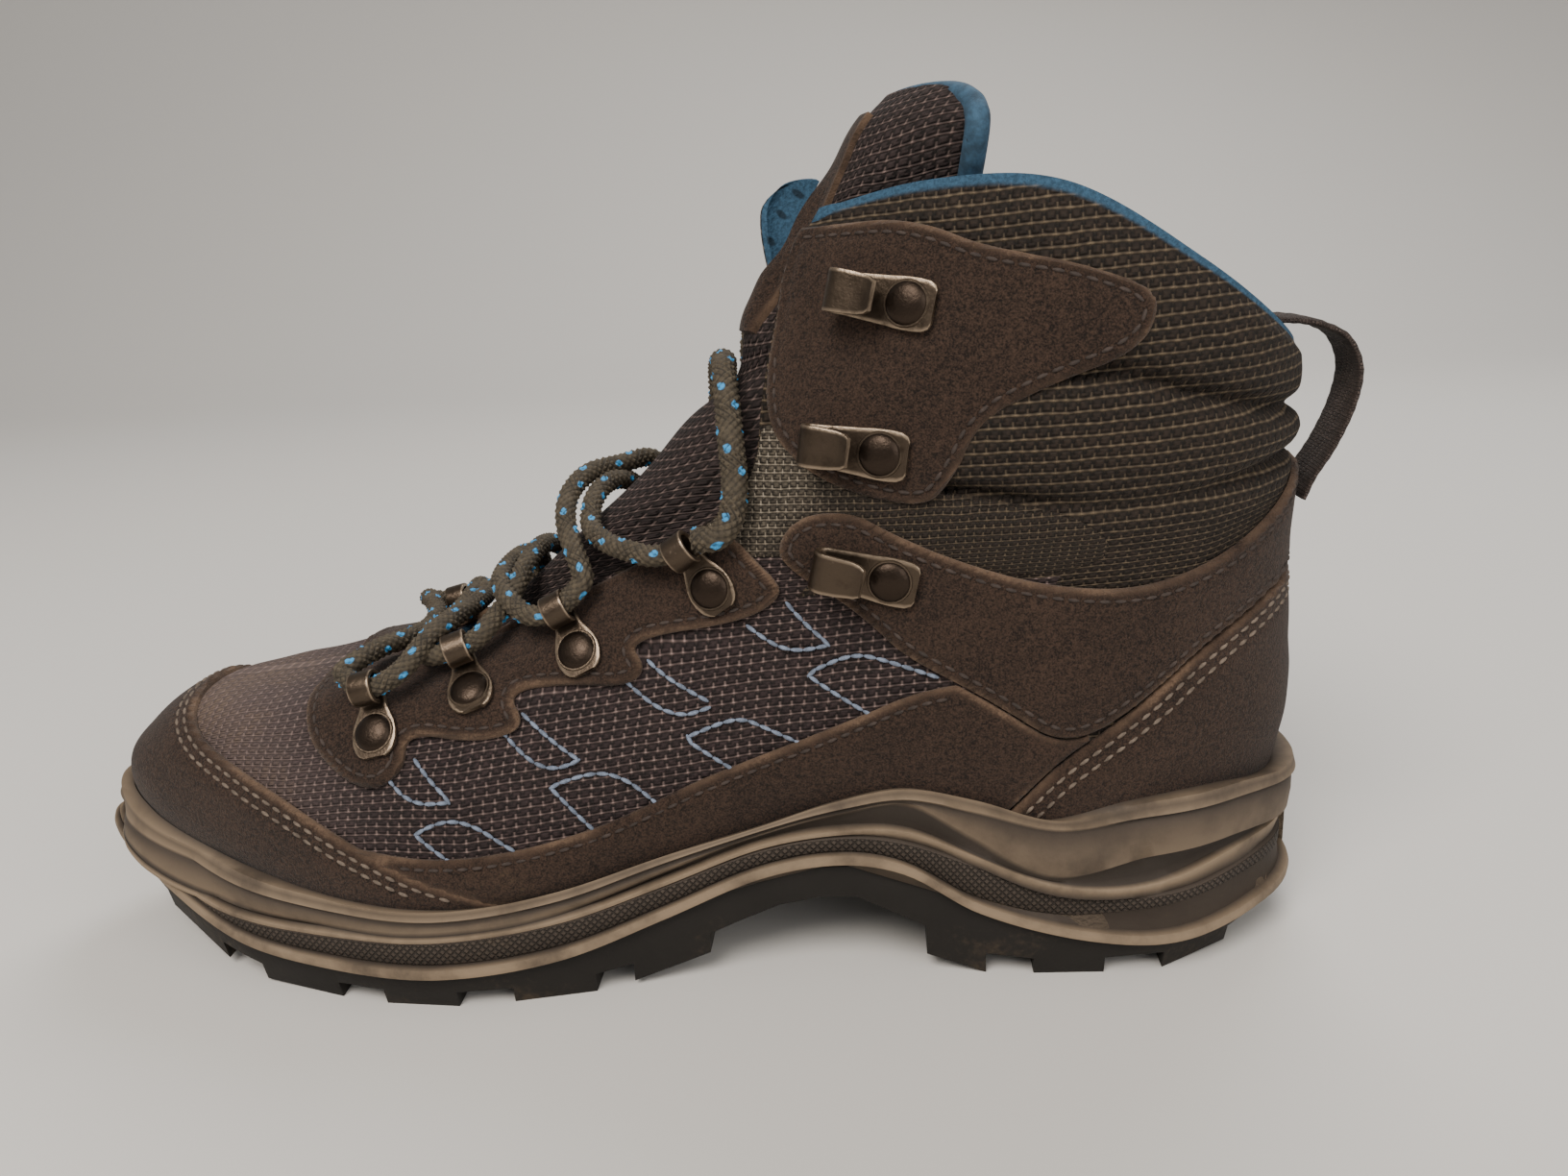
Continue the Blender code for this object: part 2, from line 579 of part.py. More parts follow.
def build_tongue():
    """The padded tongue: under the flaps at its edges, out through the throat, above the collar."""
    shoulder = 8.15                       # level where its top begins to round
    thick = 5.0
    dent_depth, dent_reach = 4.8, 0.28    # how deep the loose lace presses in, and over what levels
    top_narrowing = 5.0                   # turn that each side edge draws in towards the top
    levels = np.array((3.7, 4.1, 4.6, 5.1, 5.6, 6.1, 6.4, 6.65, 6.9, 7.3, 7.7, 8.1, 8.55, TONGUE_TOP))
    half_turn = 70.0                      # turn of its side edges, less near the top
    shares = np.linspace(-1, 1, 15)

    def outer(share, level):
        turn = share * (half_turn - top_narrowing * float(blend(level, 6.6, 8.4)))
        in_gap = -float(throat_depth(np.array([(turn, level)]))[0])
        covered = (1 - blend(in_gap, 3.5, 11.0)) * (1 - blend(level, COLLAR, 8.6))
        sunk = 0.5 + 2.5 * (1 - float(blend(level, 4.6, 5.6)))
        sunk += dent_depth * math.exp(-((level - LACE_DENT) / dent_reach) ** 2)
        depth = sunk + max(wall(turn, level) + 1.3 - sunk, 0) * covered
        top = shoulder + (TONGUE_TOP - shoulder) * math.sqrt(1 - 0.97 * share ** 4)
        return on_last(turn, min(level, top), -depth)[0]

    def inner(share, level):
        crest = on_last(0.0, level - 0.05)[0], on_last(0.0, level)[0]
        rise = crest[1] - crest[0]
        inward = np.array((rise[2], 0.0, -rise[0])) / math.hypot(rise[0], rise[2])
        return outer(share, level) + thick * blend(level, 2.6, 4.6) * inward

    bm = flat_grid(shares, levels)
    places = {vert: (vert.co.x, vert.co.y) for vert in bm.verts}
    for vert, place in places.items():
        vert.co = inner(*place)
    raised = bmesh.ops.extrude_face_region(bm, geom=bm.faces[:], use_keep_orig=True)
    risen = [item for item in raised["geom"] if isinstance(item, bmesh.types.BMVert)]
    nearest = {tuple(round(c, 4) for c in vert.co): place for vert, place in places.items()}
    for vert in risen:
        vert.co = outer(*nearest[tuple(round(c, 4) for c in vert.co)])
    bmesh.ops.recalc_face_normals(bm, faces=bm.faces)
    return solid("tongue", bm, MESH)


# ---------------------------------------------------------------- sole


def loft(rings, bottom, top):
    """A closed body through rings of points; its ends are strips joining matching points."""
    bm = bmesh.new()
    levels = [[bm.verts.new(point) for point in ring] for ring in rings]
    count = len(rings[0])
    for lower, upper_ring in zip(levels, levels[1:]):
        for k in range(count):
            after = (k + 1) % count
            bm.faces.new((lower[k], lower[after], upper_ring[after], upper_ring[k]))
    for ring, wanted in ((levels[0], bottom), (levels[-1], top)):
        if wanted:
            for k in range(count // 2):
                corners = [ring[k], ring[k + 1], ring[count - 1 - k], ring[-k] if k else ring[0]]
                bm.faces.new(list(dict.fromkeys(corners)))
    bmesh.ops.recalc_face_normals(bm, faces=bm.faces)
    return bm


def level_at(turn, height):
    """Level at which the last reaches a height, on each column."""
    tries = np.linspace(FEATHER, 1.5, 51)
    found = []
    for one_turn, wanted in zip(turn, height):
        heights = on_facets(np.full(len(tries), one_turn), tries)[:, 2]
        found.append(np.interp(wanted, heights, tries))
    return np.array(found)


def build_midsole():
    """The moulded cup: bead, band, groove and rim outside, and the shell's seat inside."""
    turn = columns()[:-1]
    seat = GAP + OVERLAY + 0.5            # the cup's inner face, out from the last
    rim_wall = 1.3                        # least thickness of the rim

    def outside(height_column, inset, raised=0.0):
        plan = on_sole(turn, inset)
        return np.column_stack((plan, along(SIDE, height_column, plan[:, 0]) + raised))

    def relief(column):
        return along(RELIEF, column, LENGTH * (1 - np.cos(np.radians(turn))) / 2)

    def clear_of(points):
        inner = on_facets(turn, level_at(turn, points[:, 2]), seat)
        outward = inner[:, :2] - on_last(turn, 0.0, -5.0)[:, :2]
        outward /= np.linalg.norm(outward, axis=1)[:, None]
        short = rim_wall - np.sum((points - inner)[:, :2] * outward, axis=1)
        points[:, :2] += np.maximum(short, 0)[:, None] * outward
        return points

    rim_top = outside("rim_top", relief("rim_top"))
    top_level = level_at(turn, rim_top[:, 2] - 0.5)
    lip = on_facets(turn, top_level, seat)
    lip[:, 2] = rim_top[:, 2] - 0.5
    second = on_facets(turn, np.minimum(0.0, top_level - 0.08), seat)
    third = on_facets(turn, np.full(len(turn), -0.5), seat)
    foot = on_facets(turn, np.full(len(turn), FEATHER), seat)
    foot[:, 2] -= GAP
    rings = [
        outside("bead", 0.7), outside("bead", 0.0, 0.8),
        outside("bead_top", 0.1), outside("bead_top", 1.2, 0.3),
        clear_of(outside("band_top", relief("band"))),
        clear_of(outside("groove", relief("groove"))),
        clear_of(outside("rim_low", relief("rim"))), clear_of(rim_top), lip, second, third, foot,
    ]
    return solid("midsole", loft(rings, bottom=True, top=True), FOAM)


Lug = namedtuple("Lug", "front back")
LUGS = (                                  # stations of each row of lugs
    Lug(17.0, 36.0),
    Lug(48.0, 68.0),
    Lug(79.0, 96.0),
    Lug(108.0, 125.0),
    Lug(133.0, 149.0),
    Lug(194.5, 207.0),
    Lug(217.0, 232.0),
    Lug(245.0, 261.0),
)
LUG_ACROSS = (-1.0, -0.62, -0.5, -0.1, 0.1, 0.5, 0.62, 1.0)
PLATE_STATIONS = (3.0, 8.0, 42.0, 156.0, 164.0, 172.0, 180.0, 187.0, 268.0, 274.0)


def build_outsole():
    """The rubber sole: a plate under the midsole with rows of lugs below it."""
    stations = sorted(PLATE_STATIONS + tuple(place for lug in LUGS for place in lug))
    turn = np.degrees(np.arccos(1 - 2 * np.array(stations) / LENGTH))
    rib_stations = LENGTH * (1 - np.cos(np.radians(columns(0, 180)))) / 2
    bm = flat_grid(stations, LUG_ACROSS)
    where = {vert: (stations.index(min(stations, key=lambda s: abs(s - vert.co.x))), vert.co.y)
             for vert in bm.verts}

    def settle(verts, inset, column, drop=0.0, standing=False):
        medial, lateral = on_sole(-turn, inset), on_sole(turn, inset)
        for vert, (index, across) in verts.items():
            share = (across + 1) / 2
            plan = (1 - share) * medial[index] + share * lateral[index]
            height = float(np.interp(plan[0], rib_stations, along(SIDE, column, rib_stations))) - drop
            if standing and height < 0.45:
                height = 0.0
            vert.co = (plan[0], plan[1], height)

    top = bmesh.ops.extrude_face_region(bm, geom=bm.faces[:], use_keep_orig=True)
    raised = [item for item in top["geom"] if isinstance(item, bmesh.types.BMVert)]
    key = {(round(v.co.x, 3), round(v.co.y, 3)): place for v, place in where.items()}
    above = {vert: key[(round(vert.co.x, 3), round(vert.co.y, 3))] for vert in raised}
    lug_cells = [face for face in bm.faces if all(vert in where for vert in face.verts)
                 and is_lug(face.calc_center_median())]
    settle(above, 1.8, "bead", 2 * GAP)
    settle(where, 2.6, "plate")
    spots = {tuple(round(c, 3) for c in vert.co): place for vert, place in where.items()}
    lugs = bmesh.ops.extrude_face_region(bm, geom=lug_cells)
    lowered = [item for item in lugs["geom"] if isinstance(item, bmesh.types.BMVert)]
    settle({vert: spots[tuple(round(c, 3) for c in vert.co)] for vert in lowered}, 3.4, "tread",
           standing=True)
    bmesh.ops.delete(bm, geom=[face for face in lug_cells if face.is_valid], context="FACES_ONLY")
    bmesh.ops.recalc_face_normals(bm, faces=bm.faces)
    return solid("outsole", bm, RUBBER, smooth=False)


def is_lug(place):
    """Whether a cell of the sole's plan, at a station and a share across, is a lug."""
    in_row = any(lug.front < place.x < lug.back for lug in LUGS)
    bands = tuple(zip(LUG_ACROSS[::2], LUG_ACROSS[1::2]))
    return in_row and any(low < place.y < high for low, high in bands)


def build_insole():
    """The footbed, inside the shell and on the midsole's floor."""
    thick = 4.0
    turn = columns()[:-1]
    edge = on_facets(turn, np.full(len(turn), FEATHER), -(SHELL_WALL + GAP))
    rings = [edge, edge + np.array((0, 0, thick))]
    return solid("insole", loft(rings, bottom=True, top=True), MESH)


# ---------------------------------------------------------------- hardware


class Seat:
    """Where a metal piece is riveted: its rivet's place and the direction of its strap."""

    def __init__(self, rivet, tip, side):
        height = GAP + OVERLAY + 2 * GAP
        self.point = on_last(side * rivet[0], rivet[1], height)[0]
        normal = on_last(side * rivet[0], rivet[1], height + 1)[0] - self.point
        reach = on_last(side * tip[0], tip[1], height)[0] - self.point
        reach -= normal * np.dot(reach, normal)
        self.along = reach / np.linalg.norm(reach)
        self.normal = normal
        self.across = np.cross(self.normal, self.along)

    def at(self, ahead, above, aside=0.0):
        """A point at distances along the strap, out from the boot and to one side."""
        return self.point + ahead * self.along + above * self.normal + aside * self.across


Bend = namedtuple("Bend", "ahead above half_width")


def arc_bends(ahead, above, radius, first, last, count, half_width):
    """Bends along an arc from one angle to another."""
    angles = np.radians(np.linspace(first, last, count))
    return [Bend(ahead + radius * math.cos(a), above + radius * math.sin(a), half_width) for a in angles]


STRAP = 1.0                               # metal thickness
HEAD_HEIGHT = 2.0                         # a rivet's head
HEAD_TAPER = 0.62                         # its flat top, as a share of its radius
LOOP_BORE = 2.7                           # inner radius of a lace loop's eye
LOOP_AHEAD = 9.0                          # the eye's centre ahead of the rivet
BASE = (Bend(-5.2, 0.5, 2.4), Bend(-3.6, 0.5, 4.2), Bend(0.0, 0.5, 4.9), Bend(3.6, 0.5, 3.9))
LOOP_BENDS = BASE + tuple(arc_bends(LOOP_AHEAD, LOOP_BORE + STRAP, LOOP_BORE + STRAP / 2,
                                    -100, 205, 9, 2.5))
HOOK_BENDS = (BASE + tuple(arc_bends(11.0, 3.1, 2.6, -90, 90, 5, 3.2))
              + (Bend(6.5, 5.2, 2.4), Bend(3.8, 6.2, 2.0)))


def bent_strap(seat, bends):
    """A strap of even thickness along its bends, as a closed body."""
    path = np.array([(bend.ahead, bend.above) for bend in bends])
    run = np.gradient(path, axis=0)
    run /= np.linalg.norm(run, axis=1)[:, None]
    lift = np.column_stack((-run[:, 1], run[:, 0])) * STRAP / 2
    bm = bmesh.new()
    ribs = []
    for bend, place, half in zip(bends, path, lift):
        corners = ((place - half, -1), (place - half, 1), (place + half, 1), (place + half, -1))
        ribs.append([bm.verts.new(seat.at(*spot, side * bend.half_width)) for spot, side in corners])
    for before, after in zip(ribs, ribs[1:]):
        for k in range(4):
            bm.faces.new((before[k], before[k - 1], after[k - 1], after[k]))
    bm.faces.new(ribs[0])
    bm.faces.new(ribs[-1][::-1])
    bmesh.ops.recalc_face_normals(bm, faces=bm.faces)
    return bm


def rivet(seat, radius=3.9, sides=10):
    """A domed rivet head, set through the strap's base."""
    bm = bmesh.new()
    bmesh.ops.create_cone(bm, cap_ends=True, segments=sides, radius1=radius,
                          radius2=HEAD_TAPER * radius, depth=HEAD_HEIGHT)
    frame = Matrix((seat.along, seat.across, seat.normal)).transposed().to_4x4()
    frame.translation = Vector(seat.at(0.0, (STRAP - 0.1 + HEAD_HEIGHT) / 2))
    bmesh.ops.transform(bm, matrix=frame, verts=bm.verts)
    bmesh.ops.recalc_face_normals(bm, faces=bm.faces)
    return bm


def joined(name, first, second, finish):
    """Two bodies as one solid."""
    base = solid(name, first, finish, smooth=False)
    tool = solid(name + "_tool", second, finish, smooth=False)
    union = base.modifiers.new("join", "BOOLEAN")
    union.operation = "UNION"
    union.object = tool
    bpy.context.view_layer.update()
    mesh = bpy.data.meshes.new_from_object(base.evaluated_get(bpy.context.evaluated_depsgraph_get()))
    base.modifiers.clear()
    base.data = mesh
    bpy.data.objects.remove(tool, do_unlink=True)
    return base


Fitting = namedtuple("Fitting", "turn level tip_turn tip_level")
LACE_LOOPS = (
    Fitting(57.0, 1.70, 50.5, 2.35),
    Fitting(62.5, 2.40, 49.0, 3.35),
    Fitting(67.0, 3.30, 52.0, 4.20),
    Fitting(73.5, 4.28, 58.0, 5.05),
)
SPEED_HOOKS = (
    Fitting(97.5, 4.10, 86.0, 4.48),
    Fitting(78.0, 5.83, 65.0, 5.95),
    Fitting(67.5, 7.00, 51.0, 7.10),
)
SIDES = (("medial", -1), ("lateral", 1))


def build_fittings():
    """Four lace loops and three open hooks on each side."""
    for kind, fittings, bends in (("lace_loop", LACE_LOOPS, LOOP_BENDS),
                                  ("speed_hook", SPEED_HOOKS, HOOK_BENDS)):
        for number, fitting in enumerate(fittings, 1):
            for side_name, side in SIDES:
                seat = Seat(fitting[:2], fitting[2:], side)
                joined(f"{kind}_{number}_{side_name}", bent_strap(seat, bends), rivet(seat), METAL)


Spot = namedtuple("Spot", "station side height")
LACE_RADIUS = 2.5
LACE_BAR = (                              # across the front, between the first pair of loops
    Spot(73.6, -26.8, 68.6), Spot(74.8, -23.0, 70.0), Spot(78.2, -15.6, 70.8), Spot(81.8, -8.0, 70.4),
    Spot(83.0, 0.0, 70.0), Spot(81.8, 8.0, 70.4), Spot(78.2, 15.6, 70.8), Spot(74.6, 22.6, 69.8),
    Spot(73.4, 26.0, 68.4),
)
LACE_CROSSES = (                          # pairs of runs, each from one side's loop to the other's next
    ((Spot(84.6, -30.0, 68.5), Spot(88.0, -28.2, 70.8), Spot(91.2, -23.6, 74.6), Spot(94.2, -15.0, 76.6),
      Spot(95.8, -5.0, 76.4), Spot(95.2, 5.0, 75.6), Spot(92.9, 13.5, 74.6), Spot(91.0, 20.0, 72.6),
      Spot(91.9, 24.4, 71.8)),
     (Spot(84.2, 29.8, 68.6), Spot(86.6, 28.4, 70.4), Spot(87.6, 22.4, 72.6), Spot(88.6, 14.0, 72.8),
      Spot(88.6, 5.0, 72.0), Spot(88.2, -4.0, 72.0), Spot(88.0, -13.0, 72.6), Spot(89.4, -20.0, 71.4),
      Spot(92.0, -23.8, 71.4))),
    ((Spot(102.2, -22.6, 74.8), Spot(104.6, -21.4, 77.2), Spot(108.0, -16.5, 81.2), Spot(109.4, -8.5, 85.6),
      Spot(110.0, 1.0, 87.4), Spot(110.4, 10.5, 86.2), Spot(111.6, 19.0, 82.4), Spot(114.2, 24.4, 79.8)),
     (Spot(102.0, 23.6, 74.9), Spot(104.4, 21.8, 77.6), Spot(105.8, 15.5, 82.0), Spot(105.4, 7.0, 84.8),
      Spot(104.8, -1.0, 85.2), Spot(104.8, -9.0, 84.6), Spot(106.2, -15.6, 83.6), Spot(110.0, -21.0, 81.6),
      Spot(114.2, -23.8, 79.8))),
    ((Spot(125.4, -22.4, 85.8), Spot(125.2, -20.8, 88.8), Spot(122.8, -16.8, 93.0),
     Spot(120.8, -12.0, 97.4),
      Spot(120.8, -5.5, 101.6), Spot(123.6, 2.0, 104.2), Spot(128.8, 9.2, 104.4), Spot(134.4, 17.3, 104.0),
      Spot(138.6, 24.0, 97.8), Spot(141.9, 28.6, 93.0)),
     (Spot(124.0, 25.2, 84.6), Spot(127.6, 23.0, 89.8), Spot(130.4, 16.5, 97.2), Spot(129.8, 8.5, 101.0),
      Spot(127.2, 1.0, 101.8), Spot(125.6, -6.5, 99.2), Spot(126.6, -13.5, 95.4), Spot(131.2, -19.5, 93.6),
      Spot(136.8, -24.2, 93.0), Spot(142.0, -26.9, 92.6))),
)
LACE_ENDS = {                             # from the last pair of loops, loose over the tongue
    "medial": (
        Spot(150.6, -28.2, 95.9), Spot(155.2, -28.9, 96.6), Spot(157.8, -28.2, 99.4),
        Spot(158.8, -26.6, 103.2),
        Spot(158.9, -24.4, 107.6), Spot(158.4, -21.8, 112.4), Spot(157.8, -18.6, 117.0),
        Spot(157.2, -14.8, 121.0), Spot(156.4, -10.2, 124.8), Spot(155.8, -4.8, 126.7),
        Spot(155.1, 0.6, 127.2),
        Spot(153.8, 5.8, 126.4), Spot(152.8, 10.6, 123.2), Spot(152.0, 14.8, 118.2),
        Spot(150.6, 18.2, 112.8),
        Spot(149.6, 20.6, 107.0)),
    "lateral": (
        Spot(150.5, 29.9, 95.8), Spot(155.0, 30.4, 97.2), Spot(157.6, 29.6, 100.4),
        Spot(159.4, 28.7, 104.8),
        Spot(160.1, 26.8, 109.8), Spot(160.2, 24.4, 115.0), Spot(160.0, 21.8, 120.4),
        Spot(159.0, 18.2, 125.6),
        Spot(159.2, 15.9, 130.4), Spot(160.4, 15.1, 134.0), Spot(162.6, 16.6, 136.0),
        Spot(165.2, 19.8, 136.0),
        Spot(167.4, 23.4, 133.8), Spot(168.8, 26.4, 130.0), Spot(169.6, 28.6, 125.2)),
}


def smooth_route(route, step):
    """Points a step apart on a smooth curve through a route's places."""
    places = np.array(route)
    places = np.vstack((2 * places[0] - places[1], places, 2 * places[-1] - places[-2]))
    fine = []
    for before, start, end, after in zip(places, places[1:], places[2:], places[3:]):
        for part in np.linspace(0, 1, 12, endpoint=False):
            fine.append(0.5 * (2 * start + (end - before) * part
                               + (2 * before - 5 * start + 4 * end - after) * part ** 2
                               + (3 * start - before - 3 * end + after) * part ** 3))
    fine = np.array(fine + [places[-2]])
    run = np.concatenate(([0.0], np.cumsum(np.linalg.norm(np.diff(fine, axis=0), axis=1))))
    wanted = np.linspace(0, run[-1], max(2, round(run[-1] / step) + 1))
    return np.column_stack([np.interp(wanted, run, fine[:, axis]) for axis in range(3)])


def lace(name, route, step=7.0):
    """A length of round lace along a route."""
    curve = bpy.data.curves.new(name, "CURVE")
    curve.dimensions = "3D"
    curve.bevel_depth = LACE_RADIUS * MM
    curve.bevel_resolution = 1
    curve.use_fill_caps = True
    points = smooth_route(route, step)
    spline = curve.splines.new("POLY")
    spline.points.add(len(points) - 1)
    for point, place in zip(spline.points, points):
        point.co = (*to_world(place), 1.0)
    return add_object(name, curve, CORD)


def evaluated_body(obj):
    """An object's finished faces, as an editable body."""
    mesh = obj.evaluated_get(bpy.context.evaluated_depsgraph_get()).to_mesh()
    bm = bmesh.new()
    bm.from_mesh(mesh)
    bmesh.ops.remove_doubles(bm, verts=bm.verts, dist=1e-7)
    bmesh.ops.recalc_face_normals(bm, faces=bm.faces)
    return bm


def build_laces():
    """The lace: a bar, three crossings and two loose ends."""
    def plain(name, route):
        """A run of lace as a bmesh in boot millimetres."""
        run = lace(name + "_run", route)
        bpy.context.view_layer.update()
        bm = evaluated_body(run)
        bpy.data.objects.remove(run, do_unlink=True)
        bmesh.ops.scale(bm, vec=(1 / MM,) * 3, verts=bm.verts)
        bmesh.ops.translate(bm, vec=(ORIGIN_STATION, ORIGIN_SIDE, 0), verts=bm.verts)
        return bm

    solid("lace_bar", plain("lace_bar", LACE_BAR), CORD)
    for number, (over, under) in enumerate(LACE_CROSSES, 1):
        joined(f"lace_cross_{number}", plain("over", over), plain("under", under), CORD)
    for side_name, route in LACE_ENDS.items():
        lace("lace_end_" + side_name, route)


Fold = namedtuple("Fold", "station height")
PULL_LOOP = (                             # the webbing's outer face, from the collar's rim down the heel
    Fold(267.0, 131.4),
    Fold(272.0, 131.0),
    Fold(276.5, 129.8),
    Fold(281.0, 127.0),
    Fold(283.6, 121.0),
    Fold(282.7, 113.5),
    Fold(279.6, 105.5),
    Fold(276.2, 99.5),
    Fold(274.4, 94.8),
)


def build_pull_loop():
    """The webbing loop over the heel."""
    half_width, thick = 5.6, 1.6
    path = np.array(PULL_LOOP)
    run = np.gradient(path, axis=0)
    run /= np.linalg.norm(run, axis=1)[:, None]
    inner = path + thick * np.column_stack((run[:, 1], -run[:, 0]))
    bm = bmesh.new()
    ribs = []
    for out_point, in_point in zip(path, inner):
        corners = ((out_point, -1), (out_point, 1), (in_point, 1), (in_point, -1))
        ribs.append([bm.verts.new((spot[0], side * half_width, spot[1])) for spot, side in corners])
    for before, after in zip(ribs, ribs[1:]):
        for k in range(4):
            bm.faces.new((before[k], before[k - 1], after[k - 1], after[k]))
    bm.faces.new(ribs[0])
    bm.faces.new(ribs[-1][::-1])
    bmesh.ops.recalc_face_normals(bm, faces=bm.faces)
    return solid("pull_loop", bm, WEBBING)


def build():
    """Make every piece in order."""
    for obj in list(bpy.data.objects):
        bpy.data.objects.remove(obj, do_unlink=True)
    build_upper()
    build_overlays()
    build_tongue()
    build_midsole()
    build_outsole()
    build_insole()
    build_fittings()
    build_laces()
    build_pull_loop()


build()
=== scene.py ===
"""A muddy hiking boot for the right foot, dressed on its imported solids.

Sizes are millimetres in the boot's own frame: station from the toe tip back, side from the middle
of the sole (medial is negative), height from the floor. The shell is drawn on a last, unrolled as
turn (degrees round the boot from the crest, medial negative) and level (rings from sole to collar).
"""

import json
import logging
import math
from collections.abc import Callable, Sequence
from dataclasses import dataclass, field
from enum import Enum
from functools import cache
from typing import NamedTuple

import bmesh
import bpy
import numpy as np
from bmesh.types import BMesh, BMVert
from bpy.types import ID, Material, Node, NodeOutputs, NodeSocket, NodeTree, Object
from mathutils import Matrix, Vector

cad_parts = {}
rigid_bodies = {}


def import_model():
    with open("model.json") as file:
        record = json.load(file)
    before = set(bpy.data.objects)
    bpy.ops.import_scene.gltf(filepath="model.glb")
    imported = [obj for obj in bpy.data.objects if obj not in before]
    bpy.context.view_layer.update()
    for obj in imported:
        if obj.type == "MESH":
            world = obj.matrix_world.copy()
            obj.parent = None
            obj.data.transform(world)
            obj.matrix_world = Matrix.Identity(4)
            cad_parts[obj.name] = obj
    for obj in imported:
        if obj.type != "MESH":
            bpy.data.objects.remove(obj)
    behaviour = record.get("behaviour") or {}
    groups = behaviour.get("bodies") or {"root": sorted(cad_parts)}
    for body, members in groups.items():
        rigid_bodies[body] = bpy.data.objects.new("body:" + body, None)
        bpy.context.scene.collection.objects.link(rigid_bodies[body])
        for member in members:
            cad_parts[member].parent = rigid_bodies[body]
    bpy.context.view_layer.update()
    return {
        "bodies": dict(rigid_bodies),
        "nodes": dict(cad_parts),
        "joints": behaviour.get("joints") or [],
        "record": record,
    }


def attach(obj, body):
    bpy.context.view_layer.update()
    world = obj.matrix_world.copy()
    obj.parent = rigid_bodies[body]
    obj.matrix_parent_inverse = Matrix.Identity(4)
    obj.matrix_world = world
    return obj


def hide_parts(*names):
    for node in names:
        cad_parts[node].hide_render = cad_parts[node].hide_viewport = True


LOG = logging.getLogger("boot")

MM = 0.001
LENGTH = 278.0            # outsole, toe tip to heel
ORIGIN_STATION = 141.8    # station under the model's origin
ORIGIN_SIDE = 0.85
GAP = 0.3                 # between pieces that meet
SHELL_WALL = 2.4          # textile and lining
CUFF_WALL = 6.2           # padded cuff
RIM_ROUND = 1.5           # how far the collar's rim draws in on each face
TOE_INSET = 4.0           # how far the toe tip lies towards the big toe

Array = np.ndarray
Colour = tuple[float, float, float]
Place = tuple[float, float]
Depth = Callable[[Array], Array]


class Side(Enum):
    """A side of the boot; its value is the sign of its turns."""

    MEDIAL = -1
    LATERAL = 1


def srgb(*values: int) -> Colour:
    """A colour given as three screen values, as linear light."""
    parts = (value / 255 for value in values)
    return tuple(part / 12.92 if part <= 0.04045 else ((part + 0.055) / 1.055) ** 2.4 for part in parts)


def dimmed(colour: Colour, share: float) -> Colour:
    """A share of a colour's light."""
    return colour[0] * share, colour[1] * share, colour[2] * share


# ---------------------------------------------------------------- the last


class Ring(NamedTuple):
    """One level of the last: its ends, its heights from toe to heel and its half widths."""

    name: str
    front: float
    back: float
    heights: tuple[float, float, float, float, float]
    medial: tuple[float, float, float, float]
    lateral: tuple[float, float, float, float]


WIDTH_PLACES = (0.1, 0.3, 0.6, 0.85)
HEIGHT_PLACES = (0.0, 0.25, 0.5, 0.75, 1.0)
RINGS = tuple(Ring(*row) for row in (
    #    name, front, back, (heights at toe, fore, waist, rear, heel), (medial half widths), (lateral)
    ("feather", 15, 266.5, (29, 17, 24, 29.5, 27.5), (23, 40, 25, 29), (25, 42.5, 32, 30)),
    ("lip", 11.3, 270.3, (41, 28, 28, 38, 38), (25, 42, 27.5, 31.5), (27, 44.5, 34.5, 32.5)),
    ("shoulder", 16.4, 272.6, (49, 46, 47, 52, 52), (25, 38, 30, 31.5), (26.5, 40, 36, 32.5)),
    ("toe_top", 31, 272, (58.5, 60, 60, 65, 66), (20.5, 30, 30.5, 31), (21.5, 33, 35, 32)),
    ("vamp", 53, 271.2, (61.5, 67, 71, 76, 79), (14, 24.5, 30, 30.5), (15.5, 28, 33.5, 31.5)),
    ("throat", 80, 271, (65.2, 77.4, 85, 89, 92), (11.5, 22, 30.5, 30.5), (13, 25.5, 32.5, 31.5)),
    ("instep", 109, 271.8, (84, 93, 99, 102, 104), (12, 23.5, 32.5, 31), (13, 26, 34, 32)),
    ("ankle", 138, 272.2, (107, 114, 116, 115, 114), (13, 25.5, 35, 31), (14, 27, 36, 32)),
    ("cuff", 160, 271.4, (137, 139, 138, 131, 120.5), (14, 26, 35, 30), (14, 27, 35.5, 31)),
    ("collar", 173, 270.2, (157, 161.5, 159.5, 145, 127), (14, 25, 32, 28), (14, 26, 33, 28)),
    ("tongue", 190, 270.2, (178, 180.5, 176, 160, 142), (12, 24, 32, 28), (12, 24, 33, 28)),
))
FEATHER = -1.0                            # level of the first ring
COLLAR = 8.0
TONGUE_TOP = 9.0
LEVELS = np.arange(len(RINGS)) + FEATHER
TOE_FULLNESS = 2.2
HEEL_FULLNESS = 2.3


def knot_weights(knots: Sequence[float], places: Array) -> Array:
    """Weights of a smooth curve through knots.

    Args:
        knots: Rising places of the knots.
        places: Where the curve is read.
    Returns:
        One row of weights for each place.
    """
    knots = np.asarray(knots, float)
    places = np.clip(np.atleast_1d(np.asarray(places, float)), knots[0], knots[-1])
    count = len(knots)
    left = np.clip(np.searchsorted(knots, places) - 1, 0, count - 2)
    step = knots[left + 1] - knots[left]
    part = (places - knots[left]) / step
    slope = np.zeros((count, count))
    for k in range(count):
        before, after = max(k - 1, 0), min(k + 1, count - 1)
        run = knots[after] - knots[before]
        slope[k, after] += 1.0 / run
        slope[k, before] -= 1.0 / run
    value = np.eye(count)
    rise = (part ** 3 - 2 * part ** 2 + part) * step
    fall = (part ** 3 - part ** 2) * step
    far = 3 * part ** 2 - 2 * part ** 3
    return ((1 - far)[:, None] * value[left] + far[:, None] * value[left + 1]
            + rise[:, None] * slope[left] + fall[:, None] * slope[left + 1])


